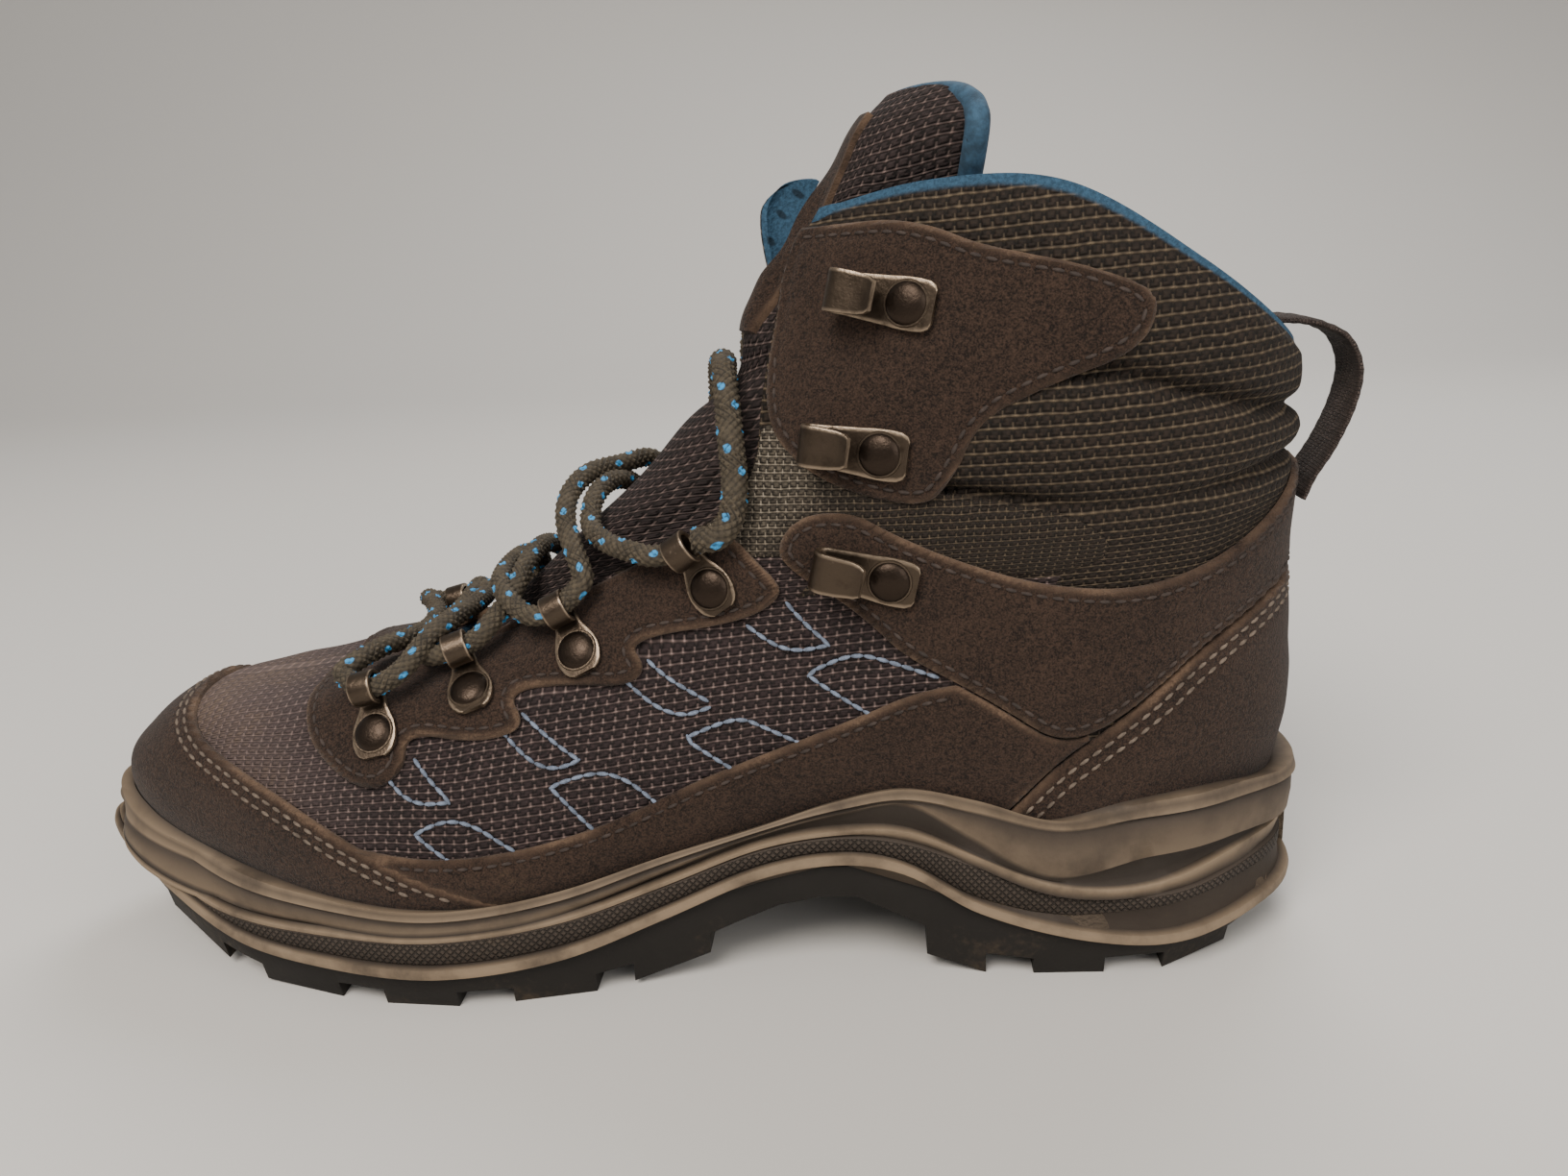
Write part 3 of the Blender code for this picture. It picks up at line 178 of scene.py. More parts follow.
def unit(vectors: Array) -> Array:
    """The same directions, each of length 1."""
    return vectors / np.maximum(np.linalg.norm(vectors, axis=-1, keepdims=True), 1e-9)


def along(table: Sequence[NamedTuple], column: str, stations: Array) -> Array:
    """Read a table's named column at the given stations, as a smooth curve."""
    values = np.array([getattr(row, column) for row in table], float)
    return knot_weights([row[0] for row in table], stations) @ values


def fullness(part: Array, toe: float = TOE_FULLNESS) -> Array:
    """Half width of a rounded oval of unit half width at each part of its length."""
    power = np.where(part < 0.5, toe, HEEL_FULLNESS)
    return np.clip(1 - np.abs(1 - 2 * part) ** power, 0, 1) ** (1 / power)


def blend(value: Array | float, low: float, high: float) -> Array:
    """0 below low, 1 above high, and a smooth rise between them."""
    part = np.clip((np.asarray(value, float) - low) / (high - low), 0, 1)
    return part * part * (3 - 2 * part)


def centre_line(station: Array) -> Array:
    """How far the boot's centre line lies to the lateral side at a station."""
    return -TOE_INSET * np.clip(1 - station / LENGTH, 0, 1) ** 3


RING_TABLE = np.array([(ring.front, ring.back, *ring.heights, *ring.medial, *ring.lateral) for ring in RINGS])
WIDTH_SCALE = fullness(np.array(WIDTH_PLACES))
WIDTH_KNOTS = (0.0, *WIDTH_PLACES, 1.0)


def on_rings(turn: Array, level: Array) -> Array:
    """Points of the last's own surface.

    Args:
        turn: Turns, in degrees.
        level: Levels.
    Returns:
        Points in boot millimetres.
    """
    turn, level = np.broadcast_arrays(np.radians(np.atleast_1d(turn)), np.atleast_1d(level))
    turn, level = turn.astype(float), level.astype(float)
    row = knot_weights(LEVELS, level) @ RING_TABLE
    part = (1 - np.cos(turn)) / 2
    station = row[:, 0] + (row[:, 1] - row[:, 0]) * part
    height = np.sum(knot_weights(HEIGHT_PLACES, part) * row[:, 2:7], axis=1)
    lateral = np.sin(turn) >= 0
    widths = np.where(lateral[:, None], row[:, 11:15], row[:, 7:11]) / WIDTH_SCALE
    widths = np.column_stack((widths[:, 0], widths, widths[:, 3]))
    half = fullness(part) * np.sum(knot_weights(WIDTH_KNOTS, part) * widths, axis=1)
    side = centre_line(station) + np.where(lateral, half, -half)
    return np.column_stack((station, side, height))


def normals_at(turn: Array, level: Array) -> Array:
    """Outward directions of the last's surface.

    Args:
        turn: Turns, in degrees.
        level: Levels.
    Returns:
        A unit vector for each place.
    """
    turn, level = np.broadcast_arrays(np.atleast_1d(turn).astype(float), np.atleast_1d(level).astype(float))
    small = 0.05
    ahead = on_rings(turn + 8 * small, level) - on_rings(turn - 8 * small, level)
    upward = (on_rings(turn, np.minimum(level + small, LEVELS[-1]))
              - on_rings(turn, np.maximum(level - small, LEVELS[0])))
    return unit(np.cross(upward, ahead))


def on_last(turn: Array, level: Array, out: Array | float = 0.0) -> Array:
    """Points at a height out over the last's surface.

    Args:
        turn: Turns, in degrees.
        level: Levels.
        out: Millimetres outwards.
    Returns:
        Points in boot millimetres.
    """
    turn, level = np.broadcast_arrays(np.atleast_1d(turn).astype(float), np.atleast_1d(level).astype(float))
    surface = on_rings(turn, level)
    points = surface + np.reshape(out, (-1, 1)) * normals_at(turn, level)
    edge = level <= FEATHER
    points[edge, 2] = surface[edge, 2]
    return points


FLARE = np.array((-8.0, 9.0, 7.0))         # how the open lateral flap stands out at its top corner


def on_shell(turn: Array, level: Array, out: Array | float = 0.0) -> Array:
    """Points over the last with the lateral flap of the collar standing open at its front.

    Args:
        turn: Turns, in degrees.
        level: Levels.
        out: Millimetres outwards.
    Returns:
        Points in boot millimetres.
    """
    turn, level = np.broadcast_arrays(np.atleast_1d(turn).astype(float), np.atleast_1d(level))
    share = blend(level, 6.8, 7.8) * blend(turn, 0.0, 6.0) * (1 - blend(turn, 20.0, 60.0))
    return on_last(turn, level, out) + share[:, None] * FLARE


class Throat(NamedTuple):
    """The throat's edge: its turn on each side at a level."""

    level: float
    medial: float
    lateral: float


THROAT = tuple(Throat(*row) for row in (
    (3.80, 0, 0), (3.92, 20, 20), (4.15, 33, 33), (4.60, 45, 45),
    (5.00, 53, 52), (5.40, 59, 57), (5.90, 54, 52), (6.40, 43, 41),
    (6.90, 33, 30), (7.40, 22, 18), (8.00, 22, 16),
))


def throat_turn(turn: Array, level: Array) -> Array:
    """Turn of the throat's edge, at each place's level and on its side."""
    return np.where(turn < 0, along(THROAT, "medial", level), along(THROAT, "lateral", level))


def wall(turn: Array, level: Array) -> Array:
    """The shell's wall: thin at the vamp and beside the throat, padded round the ankle."""
    beside = blend(np.abs(turn) - throat_turn(turn, level), 4.0, 30.0)
    return SHELL_WALL + (CUFF_WALL - SHELL_WALL) * blend(level, 4.8, 6.5) * beside


# ---------------------------------------------------------------- unrolled outlines

TOE_CAP = ((0, 2.02), (10, 1.95), (20, 1.68), (30, 1.38), (41, 1.10), (54, 0.66), (67, 0.20), (74, -0.15),
           (84, -1.1))
RAND = ((52, 0.46), (60, 0.44), (68, 0.38), (76, 0.43), (84, 0.58), (90, 0.83), (102, 1.42), (113, 2.30),
        (126, 1.90), (135, 1.10), (130, 0.17), (125, -1.1), (84, -1.1), (66, -0.5), (52, 0.2))
EYESTAY = ((0, 3.42), (16, 3.30), (32, 2.75), (42, 2.10), (50, 1.45), (60, 0.98), (63, 1.30), (60, 1.75),
           (69, 1.62), (73, 1.85), (66, 2.50), (71, 2.66), (79, 2.55), (78, 3.0), (71, 3.50), (84, 3.60),
           (86, 3.95), (81, 4.35), (68, 5.00), (62, 5.12))
ANKLE_PATCH = ((12, 7.82), (39, 7.74), (63, 7.66), (80, 7.40), (99, 7.42), (112, 7.42), (111, 6.80),
               (97, 6.40), (90, 6.10), (92, 5.60), (93, 5.18), (86, 5.27), (68, 5.68), (50, 6.18),
               (34, 6.85), (20, 7.30))
QUARTER = ((75, 4.85), (73, 5.25), (82, 5.22), (92, 4.82), (105, 4.27), (118, 3.80), (131, 3.58),
           (144, 3.86), (158, 4.42), (171, 4.90), (180, 5.02))
QUARTER_LOW = ((180, 3.20), (166, 3.12), (155, 2.92), (144, 2.42), (138, 1.80), (128, 0.95), (120, 1.66),
               (108, 2.68), (98, 3.58), (82, 4.42))
COUNTER = ((180, 3.20), (166, 3.12), (155, 2.92), (144, 2.42), (138, 1.80), (128, 0.88), (124, 0.17),
           (119, -1.1))
FLEX_PANEL = ((48, 5.95), (58, 5.05), (70, 4.75), (84, 4.6), (100, 4.3), (116, 3.9), (126, 4.2), (116, 4.85),
              (104, 5.12), (90, 5.38), (80, 5.5), (62, 5.9), (50, 6.25))
COLLAR_GROOVES = (                        # sewn channels round the padded cuff, on each side
    ((90, 6.60), (110, 6.60), (124, 6.45), (134, 6.40), (142, 6.33), (159, 6.25), (180, 6.22)),
    ((88, 5.42), (102, 5.20), (108, 5.07), (120, 4.85), (130, 4.85), (143, 5.07), (165, 5.23), (180, 5.26)),
)
UNROLLED = np.array((0.75, 18.0))         # rough millimetres for a degree of turn and for a ring
RUN_UNDER = 2.4                           # how far the coloured thread runs on under the suede
DECORATION = (                            # hooks and waves of coloured thread; a doubled place is a corner
    ((61, 1.22), (65, 0.92), (69, 0.95), (69, 0.95), (63, 1.43)),
    ((69, 0.42), (66, 0.63), (66, 0.63), (69, 0.78), (72, 0.70), (75, 0.49)),
    ((71, 1.74), (77, 1.25), (80, 1.37), (80, 1.37), (71, 2.05)),
    ((82, 0.64), (78, 1.07), (78, 1.07), (82, 1.22), (85, 1.07), (88, 0.76)),
    ((78, 2.67), (87, 1.92), (90, 2.15), (90, 2.15), (77, 3.10)),
    ((95, 1.00), (89, 1.60), (89, 1.60), (93, 1.92), (96, 1.70), (100, 1.36)),
    ((86, 3.48), (93, 3.05), (97, 3.13), (97, 3.13), (88, 3.78)),
    ((106, 1.76), (97, 2.63), (97, 2.63), (100, 2.95), (104, 2.80), (111, 2.36)),
)


def soften(points: Sequence[Place], rounds: int = 2, closed: bool = True) -> Array:
    """Cut an outline's corners, so that it becomes a smooth curve.

    Args:
        points: The outline's corners.
        rounds: How often they are cut.
        closed: Whether the last joins the first.
    Returns:
        The smooth outline.
    """
    points = np.asarray(points, float)
    for _ in range(rounds):
        start = points if closed else points[:-1]
        end = np.roll(points, -1, axis=0) if closed else points[1:]
        cut = np.stack((0.75 * start + 0.25 * end, 0.25 * start + 0.75 * end), axis=1).reshape(-1, 2)
        points = cut if closed else np.vstack((points[:1], cut, points[-1:]))
    return points


def mirrored(half_path: Sequence[Place]) -> list[Place]:
    """A closed outline from one side's path and its mirror image over turn 0."""
    return [(-turn, level) for turn, level in half_path] + list(reversed(half_path))


def round_heel(half_path: Sequence[Place]) -> list[Place]:
    """One side's path and its mirror image over the heel, on turns that run through 180."""
    return list(half_path) + [(360 - turn, level) for turn, level in reversed(half_path)]


def distance_to(points: Array, start: Array, end: Array) -> Array:
    """Distance of each point from the nearest of some straight runs.

    Args:
        points: The points.
        start: Each run's first end.
        end: Each run's other end.
    Returns:
        A distance for each point.
    """
    run = end - start
    size = np.maximum(np.sum(run * run, axis=1), 1e-9)
    nearest = []
    for some in np.array_split(points, max(1, len(points) // 3000)):
        offset = some[:, None, :] - start
        part = np.clip(np.sum(offset * run, axis=2) / size, 0, 1)
        nearest.append(np.linalg.norm(offset - part[:, :, None] * run, axis=2).min(axis=1))
    return np.concatenate(nearest)


class Panel:
    """A closed outline on the unrolled last, with its distance in millimetres."""

    def __init__(self, outline: Sequence[Place]) -> None:
        """Soften the outline and place it on the last."""
        self.outline = soften(outline, 3)
        self.line = on_last(self.outline[:, 0], np.clip(self.outline[:, 1], FEATHER, TONGUE_TOP))

    def holds(self, places: Array) -> Array:
        """Whether each place lies inside the outline.

        Args:
            places: Turns and levels, a row for each place.
        Returns:
            True inside.
        """
        start, end = self.outline, np.roll(self.outline, -1, axis=0)
        turn, level = places[:, :1], places[:, 1:2]
        spans = (start[:, 1] > level) != (end[:, 1] > level)
        rise = np.where(end[:, 1] == start[:, 1], 1.0, end[:, 1] - start[:, 1])
        crossing = start[:, 0] + (level - start[:, 1]) / rise * (end[:, 0] - start[:, 0])
        return (np.sum(spans & (turn < crossing), axis=1) % 2) == 1

    def depth(self, places: Array) -> Array:
        """Distance from the outline, positive inside it."""
        points = on_last(places[:, 0], np.clip(places[:, 1], FEATHER, TONGUE_TOP))
        return (distance_to(points, self.line, np.roll(self.line, -1, axis=0))
                * np.where(self.holds(places), 1, -1))


THROAT_GAP = Panel([(-row.medial, row.level) for row in THROAT] + [(-22, 8.8), (16, 8.8)]
                   + [(row.lateral, row.level) for row in reversed(THROAT)])


def throat_depth(places: Array) -> Array:
    """Distance outside the throat's edge, negative in the gap."""
    return -THROAT_GAP.depth(places)


# ---------------------------------------------------------------- making meshes


FLAP_ROUND = 7.0                          # radius of the lateral flap's top corner
RING_HEIGHT = 20.0                        # millimetres between rings at the collar


def flap_depth(places: Array) -> Array:
    """Distance inside the shell's edge, whose lateral flap has a round corner.

    Args:
        places: Turns and levels, a row for each place.
    Returns:
        Millimetres, negative outside.
    """
    beside, below = throat_depth(places), (COLLAR - places[:, 1]) * RING_HEIGHT
    corner = FLAP_ROUND - np.hypot(np.maximum(FLAP_ROUND - beside, 0), np.maximum(FLAP_ROUND - below, 0))
    return np.where(places[:, 0] > 0, np.minimum(beside, corner), beside)


def to_world(points: Array) -> Array:
    """Points on the boot in millimetres, as metres from the model's origin."""
    return (np.atleast_2d(points) - (ORIGIN_STATION, ORIGIN_SIDE, 0.0)) * MM


def lengths(points: Array) -> Array:
    """How far along a line each of its points lies."""
    return np.concatenate(([0.0], np.cumsum(np.linalg.norm(np.diff(points, axis=0), axis=1))))


def squared(value: float, power: float) -> float:
    """A sine or cosine drawn towards 1 or -1, which turns a circle into a rounded square."""
    return math.copysign(abs(value) ** power, value)


def closed(bm: BMesh, weld: float) -> None:
    """Weld a loft's seam, fill its open ends and turn its faces outwards."""
    bmesh.ops.remove_doubles(bm, verts=bm.verts, dist=weld)
    bmesh.ops.holes_fill(bm, edges=[edge for edge in bm.edges if edge.is_boundary], sides=0)
    bmesh.ops.recalc_face_normals(bm, faces=bm.faces)


def linked(name: str, data: ID | None) -> Object:
    """A new object in the scene."""
    obj = bpy.data.objects.new(name, data)
    bpy.context.scene.collection.objects.link(obj)
    return obj


def flat_grid(across: Array, up: Array) -> BMesh:
    """A grid in the plane, with a column at each value of across and a row at each of up.

    Args:
        across: The columns' places.
        up: The rows' places.
    Returns:
        The grid.
    """
    bm = bmesh.new()
    bmesh.ops.create_grid(bm, x_segments=len(across) - 1, y_segments=len(up) - 1, size=0.5)
    for vert in bm.verts:
        column = round((vert.co.x + 0.5) * (len(across) - 1))
        row = round((vert.co.y + 0.5) * (len(up) - 1))
        vert.co = (across[column], up[row], 0.0)
    return bm


def places_of(verts: Sequence[BMVert]) -> Array:
    """The verts' places in the flat, as an array."""
    return np.array([vert.co[:2] for vert in verts], float)


def trim(bm: BMesh, depth: Depth) -> BMesh:
    """Cut a flat pattern where depth is zero, and drop the side where it is negative.

    Args:
        bm: The flat pattern.
        depth: Distance inside the wanted edge.
    Returns:
        The same pattern.
    """
    bm.verts.index_update()
    value = depth(places_of(bm.verts))
    crossing = [edge for edge in bm.edges if value[edge.verts[0].index] * value[edge.verts[1].index] < 0]
    kept = {vert: value[vert.index] > 0 for vert in bm.verts}
    if crossing:
        start = places_of([edge.verts[0] for edge in crossing])
        end = places_of([edge.verts[1] for edge in crossing])
        first = np.array([value[edge.verts[0].index] for edge in crossing])
        second = np.array([value[edge.verts[1].index] for edge in crossing])
        part = np.clip(first / (first - second), 0.02, 0.98)
        for _ in range(3):
            middle = depth(start + part[:, None] * (end - start))
            part = np.clip(part + middle / np.where(np.abs(first - second) < 1e-6, 1.0, first - second),
                           0.02, 0.98)
        seam = [bmesh.utils.edge_split(edge, edge.verts[0], float(one))[1]
                for edge, one in zip(crossing, part)]
        bmesh.ops.connect_verts(bm, verts=seam)
    outside = [face for face in bm.faces if any(not kept.get(vert, True) for vert in face.verts)]
    bmesh.ops.delete(bm, geom=outside, context="FACES")
    return bm


CLOTH_STATIONS = (0.0, 20.0, 60.0, 100.0, 160.0, 220.0)
CLOTH_HALF = (10.0, 26.0, 36.0, 40.0, 32.0, 33.0)      # half widths where the cloth turns down the side
TOP_HALF, TOP_HEIGHT = 36.0, 53.0                      # the same and the height, over the toes


class Girth:
    """How far the cloth runs round the heel from the side, looked up by turn and level."""

    turns = np.linspace(90.0, 180.0, 46)
    levels = np.linspace(-0.5, 9.0, 58)

    def __init__(self) -> None:
        """Measure along every level."""
        level, turn = np.meshgrid(self.levels, self.turns, indexing="ij")
        points = on_rings(-turn.ravel(), level.ravel()).reshape(*level.shape, 3)
        steps = np.hypot(np.diff(points[..., 0], axis=1), np.diff(points[..., 1], axis=1))
        self.table = np.concatenate((points[:, :1, 0], points[:, :1, 0] + np.cumsum(steps, axis=1)), axis=1)

    def at(self, turn: Array, level: Array) -> Array:
        """Millimetres from the toe, by way of the side, at a turn and a level.

        Args:
            turn: Turns, in degrees.
            level: Levels.
        Returns:
            A length for each place.
        """
        column, row = (np.clip((value - knots[0]) / (knots[1] - knots[0]), 0, len(knots) - 1.001)
                       for value, knots in ((np.abs(turn), self.turns), (level, self.levels)))
        left, low = column.astype(int), row.astype(int)
        right, high = column - left, row - low
        lower = self.table[low, left] * (1 - right) + self.table[low, left + 1] * right
        upper = self.table[low + 1, left] * (1 - right) + self.table[low + 1, left + 1] * right
        return lower * (1 - high) + upper * high


GIRTH = Girth()


def unrolled_size(turn: Array, level: Array) -> Array:
    """Millimetres along and up the cloth, whose rows lie nearly level all round.

    Args:
        turn: Turns, in degrees.
        level: Levels.
    Returns:
        A pair for each place.
    """
    points = on_rings(turn, level)
    station, aside, height = points.T
    run = np.where(np.abs(turn) > 90, GIRTH.at(turn, level), station)
    vamp = 1 - blend(level, 3.4, 4.7)
    half = np.interp(station, CLOTH_STATIONS, CLOTH_HALF)
    top = vamp * (1 - blend(np.abs(aside) / half, 0.45, 0.9))
    risen = height - (0.05 + 0.04 * vamp) * station
    lying = vamp * (1 - 0.6 * blend(station, 70, 110))
    over = half + (TOP_HALF - half) * top - np.hypot(aside, 4.0)
    return np.column_stack((run, risen + (TOP_HEIGHT - risen) * top + lying * over))


@dataclass
class Sheet:
    """A flat pattern raised into a solid sheet over the last."""

    name: str
    pattern: BMesh
    inner: Callable[[Array, Array], Array]
    outer: Callable[[Array, Array], Array]
    marks: dict[str, Depth] = field(default_factory=dict)
    at: Callable[[Array, Array, Array], Array] = on_shell
    size: Callable[[Array, Array], Array] = unrolled_size

    def build(self) -> Object:
        """Raise the sheet.

        Returns:
            The object, with a flat UV map in centimetres and a float attribute for each mark.
        """
        bm = self.pattern
        layers = {key: bm.verts.layers.float.new(key) for key in ("turn", "level", "inside", *self.marks)}
        places = places_of(bm.verts)
        marks = {key: depth(places) for key, depth in self.marks.items()}
        for k, vert in enumerate(bm.verts):
            vert[layers["turn"]], vert[layers["level"]] = places[k]
            for key, values in marks.items():
                vert[layers[key]] = values[k]

        def settle(verts: list[BMVert], height: Callable, inside: float) -> None:
            """Put one face of the sheet in place.

            Args:
                verts: The face's verts.
                height: Its height at a turn and a level.
                inside: What the verts say of being inside.
            """
            here = np.array([(vert[layers["turn"]], vert[layers["level"]]) for vert in verts])
            out = np.broadcast_to(height(here[:, 0], here[:, 1]), len(here))
            for vert, point in zip(verts, self.at(here[:, 0], here[:, 1], out)):
                vert.co = point
                vert[layers["inside"]] = inside

        settle(list(bm.verts), self.inner, 1.0)
        bmesh.ops.remove_doubles(bm, verts=bm.verts, dist=0.01)
        raised = bmesh.ops.extrude_face_region(bm, geom=bm.faces[:], use_keep_orig=True)
        settle([item for item in raised["geom"] if isinstance(item, BMVert)], self.outer, 0.0)
        bmesh.ops.recalc_face_normals(bm, faces=bm.faces)
        uv = bm.loops.layers.uv.new("flat")
        loops = [loop for face in bm.faces for loop in face.loops]
        turns = np.array([loop.vert[layers["turn"]] for loop in loops])
        levels = np.array([loop.vert[layers["level"]] for loop in loops])
        starts = np.repeat([face.loops[0].vert[layers["turn"]] for face in bm.faces],
                           [len(face.loops) for face in bm.faces])
        turns = turns - 360 * np.round((turns - starts) / 360)
        for loop, size in zip(loops, self.size(turns, levels) / 10):
            loop[uv].uv = size
        return finished(self.name, bm)


def meshed(name: str, bm: BMesh, smooth: float) -> Object:
    """Link a bmesh as an object, smooth but for its sharper edges.

    Args:
        name: The object's name.
        bm: Its shape, which is used up.
        smooth: Edges sharper than this many degrees stay sharp.
    Returns:
        The object.
    """
    mesh = bpy.data.meshes.new(name)
    bm.to_mesh(mesh)
    bm.free()
    mesh.shade_smooth()
    mesh.set_sharp_from_angle(angle=math.radians(smooth))
    return linked(name, mesh)


def finished(name: str, bm: BMesh, smooth: float = 40.0) -> Object:
    """Link a bmesh drawn in boot millimetres as an object in the model's frame.

    Args:
        name: The object's name.
        bm: Its shape, which is used up.
        smooth: Edges sharper than this many degrees stay sharp.
    Returns:
        The object.
    """
    points = to_world(np.array([vert.co[:] for vert in bm.verts]))
    for vert, point in zip(bm.verts, points):
        vert.co = point
    return meshed(name, bm, smooth)


def dress(piece: Object, material: Material, slot: str, *nodes: str) -> Object:
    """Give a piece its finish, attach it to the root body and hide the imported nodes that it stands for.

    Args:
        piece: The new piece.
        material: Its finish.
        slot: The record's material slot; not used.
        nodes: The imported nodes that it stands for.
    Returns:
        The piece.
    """
    piece.data.materials.append(material)
    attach(piece, "root")
    if nodes:
        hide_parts(*nodes)
    faces = len(piece.data.polygons) if piece.type == "MESH" else 0
    LOG.info("%s: %d faces", piece.name, faces)
    return piece


# ---------------------------------------------------------------- finishes


class Graph:
    """A node tree with short calls for adding and joining nodes."""

    def __init__(self, tree: NodeTree) -> None:
        """Wrap a tree."""
        self.tree = tree

    def node(self, kind: str, inputs: dict | None = None, **settings: object) -> Node:
        """Add a node.

        Args:
            kind: The node's type, without its ShaderNode prefix.
            inputs: Values or sockets for its inputs, by name or number.
            settings: Its own properties.
        Returns:
            The node.
        """
        node = self.tree.nodes.new("ShaderNode" + kind)
        for key, value in settings.items():
            setattr(node, key, value)
        for key, value in (inputs or {}).items():
            self.feed(node.inputs[key], value)
        return node

    def feed(self, socket: NodeSocket, value: object) -> None:
        """Join a socket to another, or set it to a number or colour.

        Args:
            socket: The socket to fill.
            value: A socket, a number or a colour.
        """
        if isinstance(value, NodeSocket):
            self.tree.links.new(value, socket)
        elif isinstance(value, tuple) and len(value) == 3 and socket.type == "RGBA":
            socket.default_value = (*value, 1.0)
        else:
            socket.default_value = value

    def ended(self, ends: dict, **values: object) -> NodeTree:
        """Feed a group's outputs, by name, and give its tree."""
        for key, value in values.items():
            self.feed(ends["out"].inputs[key], value)
        return self.tree

    def split(self, vector: object) -> NodeOutputs:
        """A vector's parts."""
        return self.node("SeparateXYZ", {0: vector}).outputs

    def math(self, operation: str, *values: object) -> NodeSocket:
        """A Math node's result."""
        return self.node("Math", dict(enumerate(values)), operation=operation).outputs[0]

    def times(self, first: object, second: object) -> NodeSocket:
        """A product."""
        return self.math("MULTIPLY", first, second)

    def ramp(self, value: object, low: float, high: float) -> NodeSocket:
        """0 to 1 as a value passes from low to high, smoothly."""
        return self.node("MapRange", {"Value": value, "From Min": low, "From Max": high},
                         interpolation_type="SMOOTHSTEP").outputs[0]

    def mix(self, factor: object, first: object, second: object) -> NodeSocket:
        """A mix of two colours."""
        return self.node("Mix", {0: factor, 6: first, 7: second}, data_type="RGBA").outputs[2]

    def noise(self, vector: object, scale: float, detail: float = 4.0) -> NodeSocket:
        """A noise value; its scale is per metre on object coordinates."""
        return self.node("TexNoise", {"Vector": vector, "Scale": scale, "Detail": detail,
                                      "Roughness": 0.6}).outputs[0]

    def attribute(self, name: str) -> NodeSocket:
        """A float attribute of the piece."""
        return self.node("Attribute", attribute_name=name).outputs["Fac"]

    def group(self, tree: NodeTree, inputs: dict) -> Node:
        """Place a node group."""
        return self.node("Group", inputs, node_tree=tree)


def node_group(name: str, inputs: dict[str, float | None], outputs: Sequence[str]) -> tuple[Graph, dict]:
    """Start a shader node group.

    Args:
        name: The group's name.
        inputs: Its float inputs with their defaults; None makes a vector input.
        outputs: Its float outputs.
    Returns:
        Its graph, and its input sockets by name. An "out" entry holds the group's output node.
    """
    tree = bpy.data.node_groups.new(name, "ShaderNodeTree")
    for key, value in inputs.items():
        kind = "NodeSocketVector" if value is None else "NodeSocketFloat"
        socket = tree.interface.new_socket(key, in_out="INPUT", socket_type=kind)
        if value is not None:
            socket.default_value = value
    for key in outputs:
        tree.interface.new_socket(key, in_out="OUTPUT", socket_type="NodeSocketFloat")
    start, end = tree.nodes.new("NodeGroupInput"), tree.nodes.new("NodeGroupOutput")
    return Graph(tree), {**{key: start.outputs[key] for key in inputs}, "out": end}


WANDER = 0.06              # how far a weave's rows stray, in centimetres


